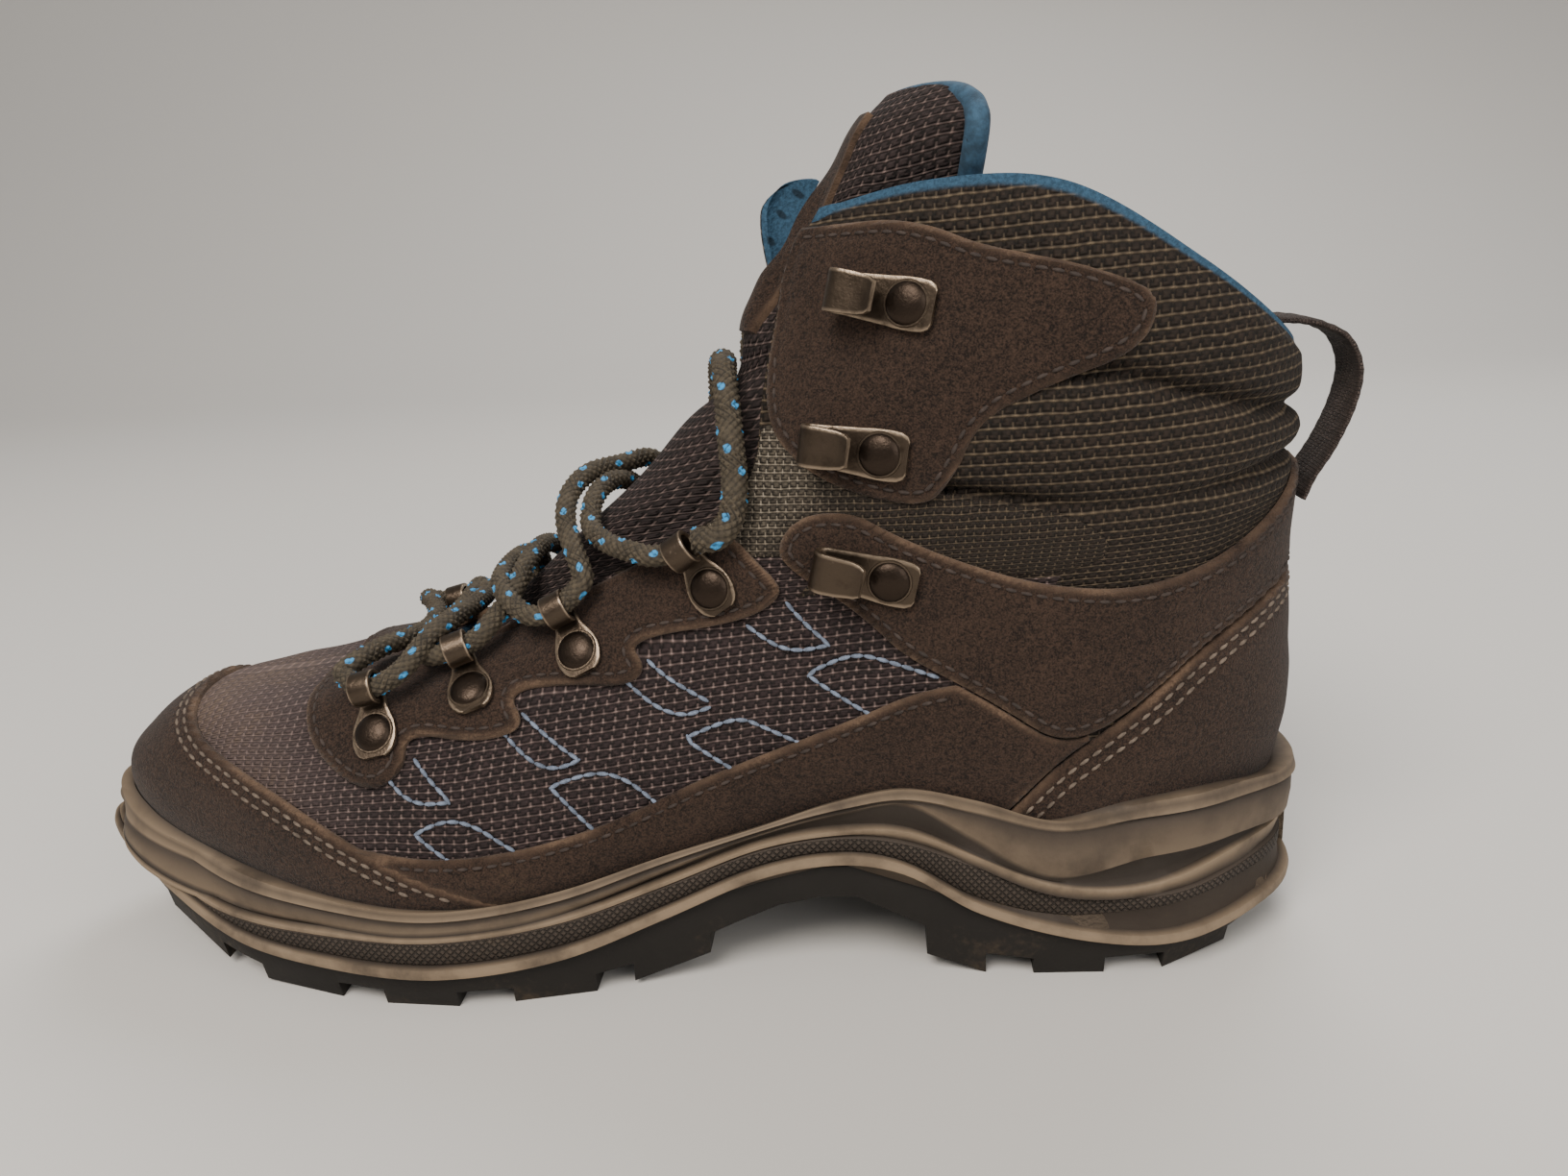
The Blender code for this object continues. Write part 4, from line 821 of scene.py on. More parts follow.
class Effects:
    """The effects that several finishes share, each a node group built once."""

    def __init__(self) -> None:
        """Build the groups."""
        self.weave = self.make_weave()
        self.nap = self.make_nap()
        self.dust = self.make_dust()

    @staticmethod
    def make_weave() -> NodeTree:
        """Heavy cloth on flat coordinates: dark pads in a lattice, and pale threads between them, whose posts
        carry a painted highlight on their upper ends.

        Returns:
            The group.
        """
        graph, at = node_group("padded_weave", {"Vector": None, "Across": 0.24, "Up": 0.2, "Rows": 0.5,
                                                "Posts": 0.3, "Knots": 0.6}, ("Height", "Line", "Tint"))
        shake = graph.node("TexNoise", {"Vector": at["Vector"], "Scale": 2.2, "Detail": 3.0})
        scaled = graph.node("VectorMath", {0: shake.outputs["Color"], "Scale": WANDER}, operation="SCALE")
        moved = graph.node("VectorMath", {0: at["Vector"], 1: scaled.outputs[0]}, operation="ADD")
        parts = graph.split(moved.outputs[0])
        up = graph.math("DIVIDE", parts[1], at["Up"])
        rank = graph.node("TexWhiteNoise", {"W": graph.math("FLOOR", up)}, noise_dimensions="1D").outputs[0]
        lean = graph.math("MULTIPLY_ADD", rank, 0.22, graph.times(graph.math("FLOOR", up), -0.15))
        across = graph.math("ADD", graph.math("DIVIDE", parts[0], at["Across"]), lean)
        corner = graph.node("CombineXYZ", {0: graph.math("FLOOR", across), 1: graph.math("FLOOR", up)})
        tint = graph.node("TexWhiteNoise", {"Vector": corner.outputs[0]}, noise_dimensions="2D").outputs[0]
        aside = graph.math("PINGPONG", graph.times(across, 2.0), 1.0)
        above = graph.math("PINGPONG", graph.times(up, 2.0), 1.0)
        row = graph.ramp(above, 0.60, 0.96)
        # painted highlight: each pale post brightens towards the top of its row, as if lit from above
        post = graph.times(graph.ramp(aside, 0.66, 0.96),
                          graph.ramp(graph.math("FRACT", up), 0.05, 0.75))
        pad = graph.times(graph.ramp(above, 0.86, 0.30), graph.ramp(aside, 0.90, 0.34))
        crossing = graph.times(row, post)
        dashes = graph.math("MULTIPLY_ADD", graph.ramp(aside, 0.1, 0.9), 0.6, 0.4)
        dashes = graph.times(row, dashes)
        line = graph.math("MAXIMUM", graph.times(dashes, at["Rows"]),
                          graph.times(post, at["Posts"]))
        line = graph.math("MULTIPLY_ADD", crossing, at["Knots"], line)
        worn = graph.node("TexNoise", {"Vector": moved.outputs[0], "Scale": 5.5, "Detail": 2.0}).outputs[0]
        line = graph.times(line, graph.times(worn, 1.9))
        thread = graph.times(row, graph.math("MULTIPLY_ADD", post, 0.4, 0.5))
        height = graph.math("MAXIMUM", pad, graph.math("MAXIMUM", thread, graph.times(post, 0.55)))
        return graph.ended(at, Height=height, Line=line, Tint=tint)

    @staticmethod
    def make_nap() -> NodeTree:
        """Brushed hide: large soft shading where the nap lies over, and fine fibre.

        Returns:
            The group.
        """
        graph, at = node_group("suede_nap", {"Vector": None}, ("Shade", "Height"))
        broad = graph.noise(at["Vector"], 45.0, 6.0)
        spots = graph.noise(at["Vector"], 1150.0, 4.0)
        fibre = graph.noise(at["Vector"], 2600.0, 2.0)
        shade = graph.math("MULTIPLY_ADD", spots, 0.42, graph.times(fibre, 0.62))
        shade = graph.math("MULTIPLY_ADD", broad, 0.16, shade)
        height = graph.math("MULTIPLY_ADD", spots, 0.6, graph.times(fibre, 0.5))
        return graph.ended(at, Shade=shade, Height=height)

    @staticmethod
    def make_dust() -> NodeTree:
        """Dried mud: patches, thicker low down.

        Returns:
            The group.
        """
        graph, at = node_group("dried_mud", {"Vector": None, "Amount": 0.4, "Top": 0.05}, ("Mask",))
        patches = graph.noise(at["Vector"], 38.0, 8.0)
        grit = graph.noise(at["Vector"], 700.0, 4.0)
        low = graph.math("SUBTRACT", 1.0, graph.math("DIVIDE", graph.split(at["Vector"])[2], at["Top"]))
        low = graph.node("Clamp", {0: low}).outputs[0]
        total = graph.math("MULTIPLY_ADD", low, 0.35, graph.math("MULTIPLY_ADD", patches, 0.9, -0.55))
        total = graph.math("ADD", total, graph.math("MULTIPLY_ADD", grit, 0.5, -0.25))
        total = graph.math("ADD", total, at["Amount"])
        return graph.ended(at, Mask=graph.ramp(total, 0.25, 0.85))


@cache
def shared_effects() -> Effects:
    """The effects, built on first use."""
    return Effects()


MUD = srgb(132, 110, 84)
LINING = srgb(52, 84, 108)
CUFF_PAD, CUFF_THREAD = srgb(42, 33, 26), srgb(104, 90, 72)
TOE_DUST = srgb(112, 97, 94)
NO_RIM = 99.0              # a level above every piece


class Paint(Graph):
    """A new material's graph, with its shader and its object coordinates."""

    def __init__(self, name: str) -> None:
        """Start the material."""
        self.result = bpy.data.materials.new(name)
        self.result.use_nodes = True
        super().__init__(self.result.node_tree)
        self.shader = self.tree.nodes["Principled BSDF"]
        self.place = self.node("TexCoord").outputs["Object"]

    def muddied(self, colour: object, amount: object, top: float, share: float,
                taken: object = 1.0) -> NodeSocket:
        """A colour under dried mud.

        Args:
            colour: The clean colour.
            amount: How much mud there is.
            top: Height in metres where low mud ends.
            share: How much of the colour mud can hide.
            taken: How much of it stays on the surface here.
        Returns:
            The mixed colour.
        """
        given = {"Vector": self.place, "Amount": amount, "Top": top}
        mask = self.group(shared_effects().dust, given).outputs["Mask"]
        return self.mix(self.times(self.times(mask, taken), share), colour, MUD)

    def settle(self, colour: object, height: object, depth: float, strength: float = 1.0,
               **others: object) -> Material:
        """Feed the shader.

        Args:
            colour: The base colour.
            height: The relief, in units of depth metres.
            depth: That unit.
            strength: How much of the relief shows.
            others: Values for other inputs, named in lower case with underscores.
        Returns:
            The material.
        """
        bump = self.node("Bump", {"Height": height, "Distance": depth, "Strength": strength})
        sockets = {socket.name.lower().replace(" ", "_"): socket for socket in self.shader.inputs}
        for key, value in {"base_color": colour, "normal": bump.outputs[0], **others}.items():
            self.feed(sockets[key], value)
        return self.result


@dataclass(frozen=True)
class Suede:
    """Brushed leather with worn, paler edges."""

    name: str
    dark: Colour = srgb(24, 18, 15)
    light: Colour = srgb(64, 49, 40)
    worn: Colour = srgb(116, 94, 76)
    mud: float = 0.02
    worn_width: float = 1.7

    def material(self) -> Material:
        """Build the material; the piece has an edge attribute in millimetres.

        Returns:
            The material.
        """
        graph = Paint(self.name)
        place = graph.place
        nap = graph.group(shared_effects().nap, {"Vector": place})
        colour = graph.mix(graph.ramp(nap.outputs["Shade"], 0.44, 0.76), self.dark, self.light)
        edge = graph.attribute("edge")
        ragged = graph.math("ADD", edge, graph.math("MULTIPLY_ADD", nap.outputs["Height"], 4.4, -2.2))
        rub = graph.math("SUBTRACT", 1.0, graph.ramp(ragged, 0.0, self.worn_width))
        rub = graph.times(rub, graph.ramp(graph.noise(place, 55.0, 3.0), 0.3, 0.65))
        colour = graph.mix(graph.times(rub, 0.7), colour, self.worn)
        colour = graph.muddied(colour, self.mud, 0.07, 0.5)
        return graph.settle(colour, nap.outputs["Height"], 0.0006, 0.8, roughness=0.95,
                            specular_ior_level=0.2, sheen_weight=0.08, sheen_roughness=0.5)


@dataclass(frozen=True)
class Textile:
    """A heavy weave of dark pads with paler threads between them, over a dark ground."""

    name: str
    ground: Colour
    pad: Colour
    thread: Colour
    across: float = 0.245
    up: float = 0.2
    rows: float = 0.34
    posts: float = 0.34
    knots: float = 0.8
    mud: float = 0.05
    depth: float = 0.0005
    lining: Colour | None = None
    rim: float = COLLAR - 0.12
    dusty_toe: float = 0.0
    far_pad: Colour | None = None     # colours towards the rear of a panel
    far_thread: Colour | None = None

    def material(self) -> Material:
        """Build the material; the piece has a flat UV map in centimetres.

        Returns:
            The material.
        """
        graph = Paint(self.name)
        place = graph.place
        flat = graph.node("UVMap", uv_map="flat").outputs[0]
        weave = graph.group(shared_effects().weave, {"Vector": flat, "Across": self.across, "Up": self.up,
                                            "Rows": self.rows, "Posts": self.posts, "Knots": self.knots})
        near_pad, thread = self.pad, self.thread
        if self.far_pad is not None and self.far_thread is not None:
            behind = graph.ramp(graph.math("ABSOLUTE", graph.attribute("turn")), 62.0, 86.0)
            near_pad = graph.mix(behind, self.pad, self.far_pad)
            thread = graph.mix(behind, self.thread, self.far_thread)
        pad = graph.mix(graph.math("MULTIPLY_ADD", weave.outputs["Tint"], 0.7, 0.3), self.ground, near_pad)
        colour = graph.mix(graph.ramp(weave.outputs["Height"], 0.05, 0.6), self.ground, pad)
        colour = graph.mix(graph.node("Clamp", {0: weave.outputs["Line"]}).outputs[0], colour, thread)
        ahead = graph.ramp(graph.split(place)[0], -0.05, -0.105)
        colour = graph.mix(graph.times(ahead, self.dusty_toe), colour, TOE_DUST)
        amount = graph.math("MULTIPLY_ADD", ahead, self.dusty_toe, self.mud)
        taken = graph.ramp(weave.outputs["Height"], 0.0, 0.6)
        colour = graph.muddied(colour, amount, 0.075, 0.45, taken)
        height = weave.outputs["Height"]
        if self.lining is not None:
            inside = graph.math("MAXIMUM", graph.ramp(graph.attribute("inside"), 0.05, 0.3),
                                graph.ramp(graph.attribute("level"), self.rim, self.rim + 0.06))
            cells = graph.node("TexVoronoi", {"Vector": flat, "Scale": 2.6, "Randomness": 0.1})
            dots = graph.math("MAXIMUM", graph.ramp(cells.outputs["Distance"], 0.14, 0.24),
                              graph.math("SUBTRACT", 1.0, graph.ramp(graph.attribute("inside"), 0.6, 0.95)))
            pile = graph.ramp(graph.noise(place, 1300.0, 3.0), 0.25, 0.7)
            soft = graph.mix(pile, dimmed(self.lining, 0.55), self.lining)
            colour = graph.mix(inside, colour, graph.mix(dots, dimmed(self.lining, 0.25), soft))
            height = graph.node("Mix", {0: inside, 2: height, 3: graph.times(pile, 0.35)},
                                data_type="FLOAT").outputs[0]
        return graph.settle(colour, height, self.depth, roughness=0.85, specular_ior_level=0.3)


@dataclass(frozen=True)
class Rubber:
    """Moulded rubber or foam with dried mud, pale ridges that are partly rubbed and partly painted highlight,
    and painted shade in its hollows.
    """

    name: str
    base: Colour
    # the ridges' colour: rubbed paler, and painted highlight where the edges catch the light
    ridge: Colour
    mud: float = 0.25
    top: float = 0.05
    knurled: bool = False
    pitch: float = 0.17               # of the knurl, in centimetres

    def material(self) -> Material:
        """Build the material; a knurled piece has knurl, hollow and ridge attributes.

        Returns:
            The material.
        """
        graph = Paint(self.name)
        place = graph.place
        mottle = graph.noise(place, 60.0, 6.0)
        colour = graph.mix(graph.ramp(mottle, 0.35, 0.7), dimmed(self.base, 0.8), self.base)
        height = graph.times(graph.noise(place, 900.0, 4.0), 0.15)
        hollow: object = 0.0
        if self.knurled:
            hollow = graph.attribute("hollow")
            # pale ridges: partly rubbing, partly painted highlight on the moulding's edges
            rub = graph.times(graph.attribute("ridge"), graph.ramp(mottle, 0.2, 0.6))
            colour = graph.mix(rub, colour, self.ridge)
            parts = graph.split(graph.node("UVMap", uv_map="flat").outputs[0])
            ribs = [graph.math(slant, parts[0], parts[1]) for slant in ("ADD", "SUBTRACT")]
            ribs = [graph.math("SINE", graph.times(rib, math.pi / self.pitch)) for rib in ribs]
            ribs = [graph.math("ABSOLUTE", rib) for rib in ribs]
            stud = graph.ramp(graph.math("MINIMUM", *ribs), 0.1, 0.7)
            knurl = graph.ramp(graph.attribute("knurl"), 0.4, 0.8)
            height = graph.math("MULTIPLY_ADD", stud, knurl, height)
            # painted shade in the knurl's pits between the studs, and a little over the whole knurled band
            pit_shade = graph.times(graph.math("SUBTRACT", 1.0, stud), knurl)
            colour = graph.mix(graph.times(pit_shade, 0.75), colour, dimmed(self.base, 0.25))
            colour = graph.mix(graph.times(knurl, 0.08), colour, dimmed(self.base, 0.45))
        colour = graph.muddied(colour, self.mud, self.top, 0.45)
        # painted shade in the grooves and the dug face, where the hollow attribute is set
        colour = graph.mix(graph.times(hollow, 0.7), colour, dimmed(self.base, 0.22))
        return graph.settle(colour, height, 0.0005, roughness=0.72, specular_ior_level=0.3)


@dataclass(frozen=True)
class Metal:
    """Dark plated steel, worn brighter, with painted highlight along the straps' edges."""

    name: str
    dark: Colour = srgb(62, 52, 43)
    worn_and_lit: Colour = srgb(150, 133, 114)

    def material(self) -> Material:
        """Build the material.

        Returns:
            The material.
        """
        graph = Paint(self.name)
        place = graph.place
        wear = graph.noise(place, 320.0, 6.0)
        # the worn attribute marks the straps' edges: partly wear, partly painted highlight
        rub = graph.times(graph.attribute("worn"), graph.ramp(wear, 0.2, 0.5))
        colour = graph.mix(graph.math("MAXIMUM", rub, graph.ramp(wear, 0.62, 0.85)), self.dark, self.worn_and_lit)
        return graph.settle(colour, graph.noise(place, 1500.0, 3.0), 0.00008, metallic=0.9,
                            roughness=graph.math("MULTIPLY_ADD", wear, 0.35, 0.2))


@dataclass(frozen=True)
class Thread:
    """Sewing thread, or a lace whose flecks are marked by an attribute and whose hollows between strands get
    painted shade.
    """

    name: str
    base: Colour
    fleck: Colour | None = None

    def material(self) -> Material:
        """Build the material.

        Returns:
            The material.
        """
        graph = Paint(self.name)
        place = graph.place
        shade = graph.ramp(graph.noise(place, 600.0, 4.0), 0.3, 0.75)
        colour = graph.mix(shade, dimmed(self.base, 0.45), self.base)
        if self.fleck is not None:
            # painted shade in the hollows between the lace's strands
            hollow = graph.math("SUBTRACT", 1.0, graph.ramp(graph.attribute("strand"), 0.05, 0.6))
            colour = graph.mix(graph.ramp(graph.attribute("fleck"), 0.3, 0.6), colour, self.fleck)
            colour = graph.mix(graph.times(hollow, 0.85), colour, dimmed(self.base, 0.14))
        return graph.settle(colour, graph.noise(place, 2600.0, 2.0), 0.0001, roughness=0.85)


# ---------------------------------------------------------------- the shell and its overlays


@dataclass
class Shell:
    """The hollow upper: textile outside, padded cuff, perforated lining inside."""

    columns: int = 330
    rows: int = 118
    groove_depth: float = 2.9
    groove_half: float = 1.9
    puff: float = 1.3
    puff_run: float = 7.0             # how far from a channel the padding stands full
    crease: float = 0.32

    def __post_init__(self) -> None:
        """Place the cuff's sewn channels on the last."""
        runs = []
        for groove in COLLAR_GROOVES:
            line = soften(groove, 2, closed=False)
            for side in Side:
                points = on_last(side.value * line[:, 0], line[:, 1])
                runs.append((points[:-1], points[1:]))
        self.channels = np.vstack([start for start, _ in runs]), np.vstack([end for _, end in runs])

    def relief(self, turn: Array, level: Array) -> Array:
        """How far the outer face stands off the last: channels, padding and soft creases.

        Args:
            turn: Turns, in degrees.
            level: Levels.
        Returns:
            Millimetres.
        """
        places = on_last(turn, level)
        apart = distance_to(places, *self.channels)
        cuff = blend(level, 4.7, 5.3) * blend(np.abs(turn), 72, 92)
        padded = (self.puff * (1 - np.exp(-(apart / self.puff_run) ** 2))
                  - self.groove_depth * np.exp(-(apart / self.groove_half) ** 2))
        station, _, height = places.T
        flex = np.sin(station * 0.33 + height * 0.21) * np.sin(station * 0.12 - height * 0.3)
        vamp = blend(level, 0.6, 1.6) * (1 - blend(level, 3.6, 4.4))
        return cuff * padded + self.crease * vamp * flex

    def build(self) -> None:
        """Make the shell and the lighter panel at the ankle's bend."""
        share = np.linspace(-1, 1, self.columns)
        turns = 180 * (share + 0.06 * np.sin(2 * math.pi * share))
        pattern = trim(flat_grid(turns, np.linspace(FEATHER, COLLAR, self.rows)), flap_depth)
        shell = Sheet(
            "textile_shell", pattern,
            inner=lambda turn, level: -wall(turn, level) + RIM_ROUND * blend(level, 7.4, COLLAR),
            outer=lambda turn, level: -RIM_ROUND * blend(level, 7.6, COLLAR) + self.relief(turn, level),
        ).build()
        vamp = Textile("vamp_textile", srgb(20, 15, 15), srgb(48, 37, 37), srgb(138, 118, 112), mud=0.05,
                       lining=LINING, dusty_toe=0.42)
        cuff = Textile("cuff_textile", srgb(16, 12, 9), CUFF_PAD, CUFF_THREAD, 0.22, 0.22, rows=0.7,
                       posts=0.3, knots=0.3, mud=0.0, lining=LINING)
        dress(shell, vamp.material(), "mesh_textile", "upper")
        shell.data.materials.append(cuff.material())
        level, turn = np.zeros((2, len(shell.data.vertices)))
        shell.data.attributes["level"].data.foreach_get("value", level)
        shell.data.attributes["turn"].data.foreach_get("value", turn)
        for face in shell.data.polygons:
            up, round_to = level[face.vertices[0]], abs(turn[face.vertices[0]])
            if up > 4.7 or round_to > 120 or (up > 3.9 and round_to > 88):
                face.material_index = 1
        flex = Textile("flex_textile", srgb(30, 26, 22), srgb(92, 84, 72), srgb(168, 156, 138), 0.17, 0.15,
                       rows=0.5, posts=0.5, knots=0.4, mud=0.0, far_pad=CUFF_PAD, far_thread=CUFF_THREAD)
        for side in Side:
            panel = Panel([(side.value * turn, level) for turn, level in FLEX_PANEL])
            low, high = sorted((side.value * 40.0, side.value * 130.0))
            pattern = trim(flat_grid(np.linspace(low, high, 96), np.linspace(3.7, 6.4, 56)), panel.depth)
            pattern = trim(pattern, lambda places: throat_depth(places) - 0.6)
            piece = Sheet(f"flex_panel_{side.name.lower()}", pattern,
                          inner=lambda t, v: np.full(len(t), 0.02),
                          outer=lambda t, v, panel=panel: 0.1 + self.relief(t, v) * 0.6
                          + 0.3 * blend(panel.depth(np.column_stack((t, v))), 0, 1.5)).build()
            dress(piece, flex.material() if side is Side.MEDIAL else bpy.data.materials[flex.name],
                  "mesh_textile")


@dataclass
class Overlay:
    """One suede piece: its outline, its thickness and its rows of stitching."""

    name: str
    outline: list[Place]
    turns: tuple[float, float]
    levels: tuple[float, float]
    thick: float = 1.5
    seams: tuple[float, ...] = (2.2,)
    limits: tuple[Depth, ...] = ()
    at_throat: bool = False
    lift: float = GAP
    nodes: tuple[str, ...] = ()
    grid: float = 1.25                # size of a face
    swell: float = 0.12               # of its soft unevenness
    rounding: float = 1.3             # how far in from its edge it rises
    seam_dip: float = 0.4             # how far stitching draws it in

    def __post_init__(self) -> None:
        """Soften the outline."""
        self.panel = Panel(self.outline)

    def depth(self, places: Array) -> Array:
        """Distance inside the piece's own edge.

        Args:
            places: Turns and levels, a row for each place.
        Returns:
            Millimetres.
        """
        depths = [self.panel.depth(places) - 0.25] + [limit(places) - 0.25 for limit in self.limits]
        if self.at_throat:
            depths.append(throat_depth(places) - 1.0)
        return np.min(depths, axis=0)

    def height(self, turn: Array, level: Array) -> Array:
        """Height of the outer face: rounded at its edge, drawn in along its stitching.

        Args:
            turn: Turns, in degrees.
            level: Levels.
        Returns:
            Millimetres over the last.
        """
        depth = np.maximum(self.depth(np.column_stack((turn, level))), 0)
        part = np.clip(depth / self.rounding, 0, 1)
        height = self.lift + self.thick * (0.35 + 0.65 * np.sqrt(1 - (1 - part) ** 2))
        for seam in self.seams:
            height = height - self.seam_dip * np.exp(-((depth - seam) / 0.75) ** 2)
        station, _, rise = on_last(turn, level).T
        return height + self.swell * np.sin(station * 0.21 + rise * 0.17) * np.sin(rise * 0.4)

    def pattern(self) -> BMesh:
        """The flat pattern, cut to the outline.

        Returns:
            The trimmed grid.
        """
        middle = np.mean(self.levels)
        girth = on_last(np.linspace(*self.turns, 60), middle)
        rise = on_last(np.mean(self.turns), np.linspace(*self.levels, 30))
        across, up = (int(lengths(line)[-1] / self.grid) for line in (girth, rise))
        bm = flat_grid(np.linspace(*self.turns, max(across, 20)), np.linspace(*self.levels, max(up, 16)))
        return trim(bm, self.depth)

    def build(self, suede: Material) -> Object:
        """Make the piece."""
        piece = Sheet(self.name, self.pattern(), inner=lambda t, v: np.full(len(t), self.lift * 0.5),
                      outer=self.height, marks={"edge": self.depth}).build()
        return dress(piece, suede, "suede", *self.nodes)

    def seam_paths(self) -> list[Array]:
        """Places along each row of stitching, as turns and levels.

        Returns:
            For each row a line of places, with NaN where there are no stitches.
        """
        start, end = self.panel.outline, np.roll(self.panel.outline, -1, axis=0)
        part = np.linspace(0, 1, 8, endpoint=False)[None, :, None]
        outline = ((1 - part) * start[:, None] + part * end[:, None]).reshape(-1, 2)
        turn, level = outline[:, 0], np.clip(outline[:, 1], FEATHER, TONGUE_TOP)
        small = 0.01
        here = on_last(turn, level)
        by_turn = (on_last(turn + small * 10, level) - here) / (small * 10)
        by_level = (on_last(turn, level + small) - here) / small
        tangent = np.roll(here, -1, axis=0) - np.roll(here, 1, axis=0)
        aside = unit(np.cross(normals_at(turn, level), tangent))
        system = np.stack((by_turn, by_level), axis=2)
        step = np.einsum("nij,nj->ni", np.linalg.pinv(system), aside)
        inward = self.panel.depth(outline + 0.8 * step) > self.panel.depth(outline - 0.8 * step)
        step = np.where(inward[:, None], step, -step)
        paths = []
        for seam in self.seams:
            moved = outline + (seam + 0.25) * step
            depth = self.depth(moved)
            inside = (depth > seam * 0.86) & (moved[:, 1] > FEATHER + 0.55)
            paths.append(np.where(inside[:, None], moved, np.nan))
        return paths


def stitch_rows(name: str, rows: list[tuple[Array, Callable]], material: Material, slot: str,
                pitch: float = 3.0, length: float = 2.1, radius: float = 0.42) -> None:
    """Sew rows of stitches, each a small rounded bead lying along its row.

    Args:
        name: The piece's name.
        rows: Each row's turns and levels, with gaps as NaN, and its height function.
        material: The thread.
        slot: The record's slot.
        pitch: From one stitch to the next.
        length: Of a stitch.
        radius: Of the thread.
    """
    whole = bmesh.new()
    for places, height in rows:
        bm = bmesh.new()
        broken = np.isnan(places[:, 0])
        for some in np.split(np.arange(len(places)), np.flatnonzero(broken)):
            some = some[~broken[some]]
            if len(some) < 3:
                continue
            here = places[some]
            line = on_shell(here[:, 0], here[:, 1], height(here[:, 0], here[:, 1]) + 0.12)
            normal = normals_at(here[:, 0], here[:, 1])
            run = lengths(line)
            for start in np.arange(0.4, run[-1] - length, pitch):
                ends = [np.array([np.interp(at, run, line[:, axis]) for axis in range(3)])
                        for at in (start, start + length)]
                up = normal[np.searchsorted(run, start)]
                way = ends[1] - ends[0]
                if np.linalg.norm(way) < 0.5 * length:
                    continue
                way = unit(way)
                aside = np.cross(up, way)
                axes = way * length * 0.55, aside * radius, np.cross(way, aside) * radius
                frame = Matrix(axes).transposed().to_4x4()
                frame.translation = Vector((ends[0] + ends[1]) / 2)
                bmesh.ops.create_uvsphere(bm, u_segments=6, v_segments=5, radius=1.0,
                                          matrix=frame @ Matrix.Rotation(math.pi / 2, 4, "Y"))
        row = bpy.data.meshes.new(name + "_row")
        bm.to_mesh(row)
        bm.free()
        whole.from_mesh(row)
        bpy.data.meshes.remove(row)
    bmesh.ops.recalc_face_normals(whole, faces=whole.faces)
    dress(finished(name, whole, 180.0), material, slot)


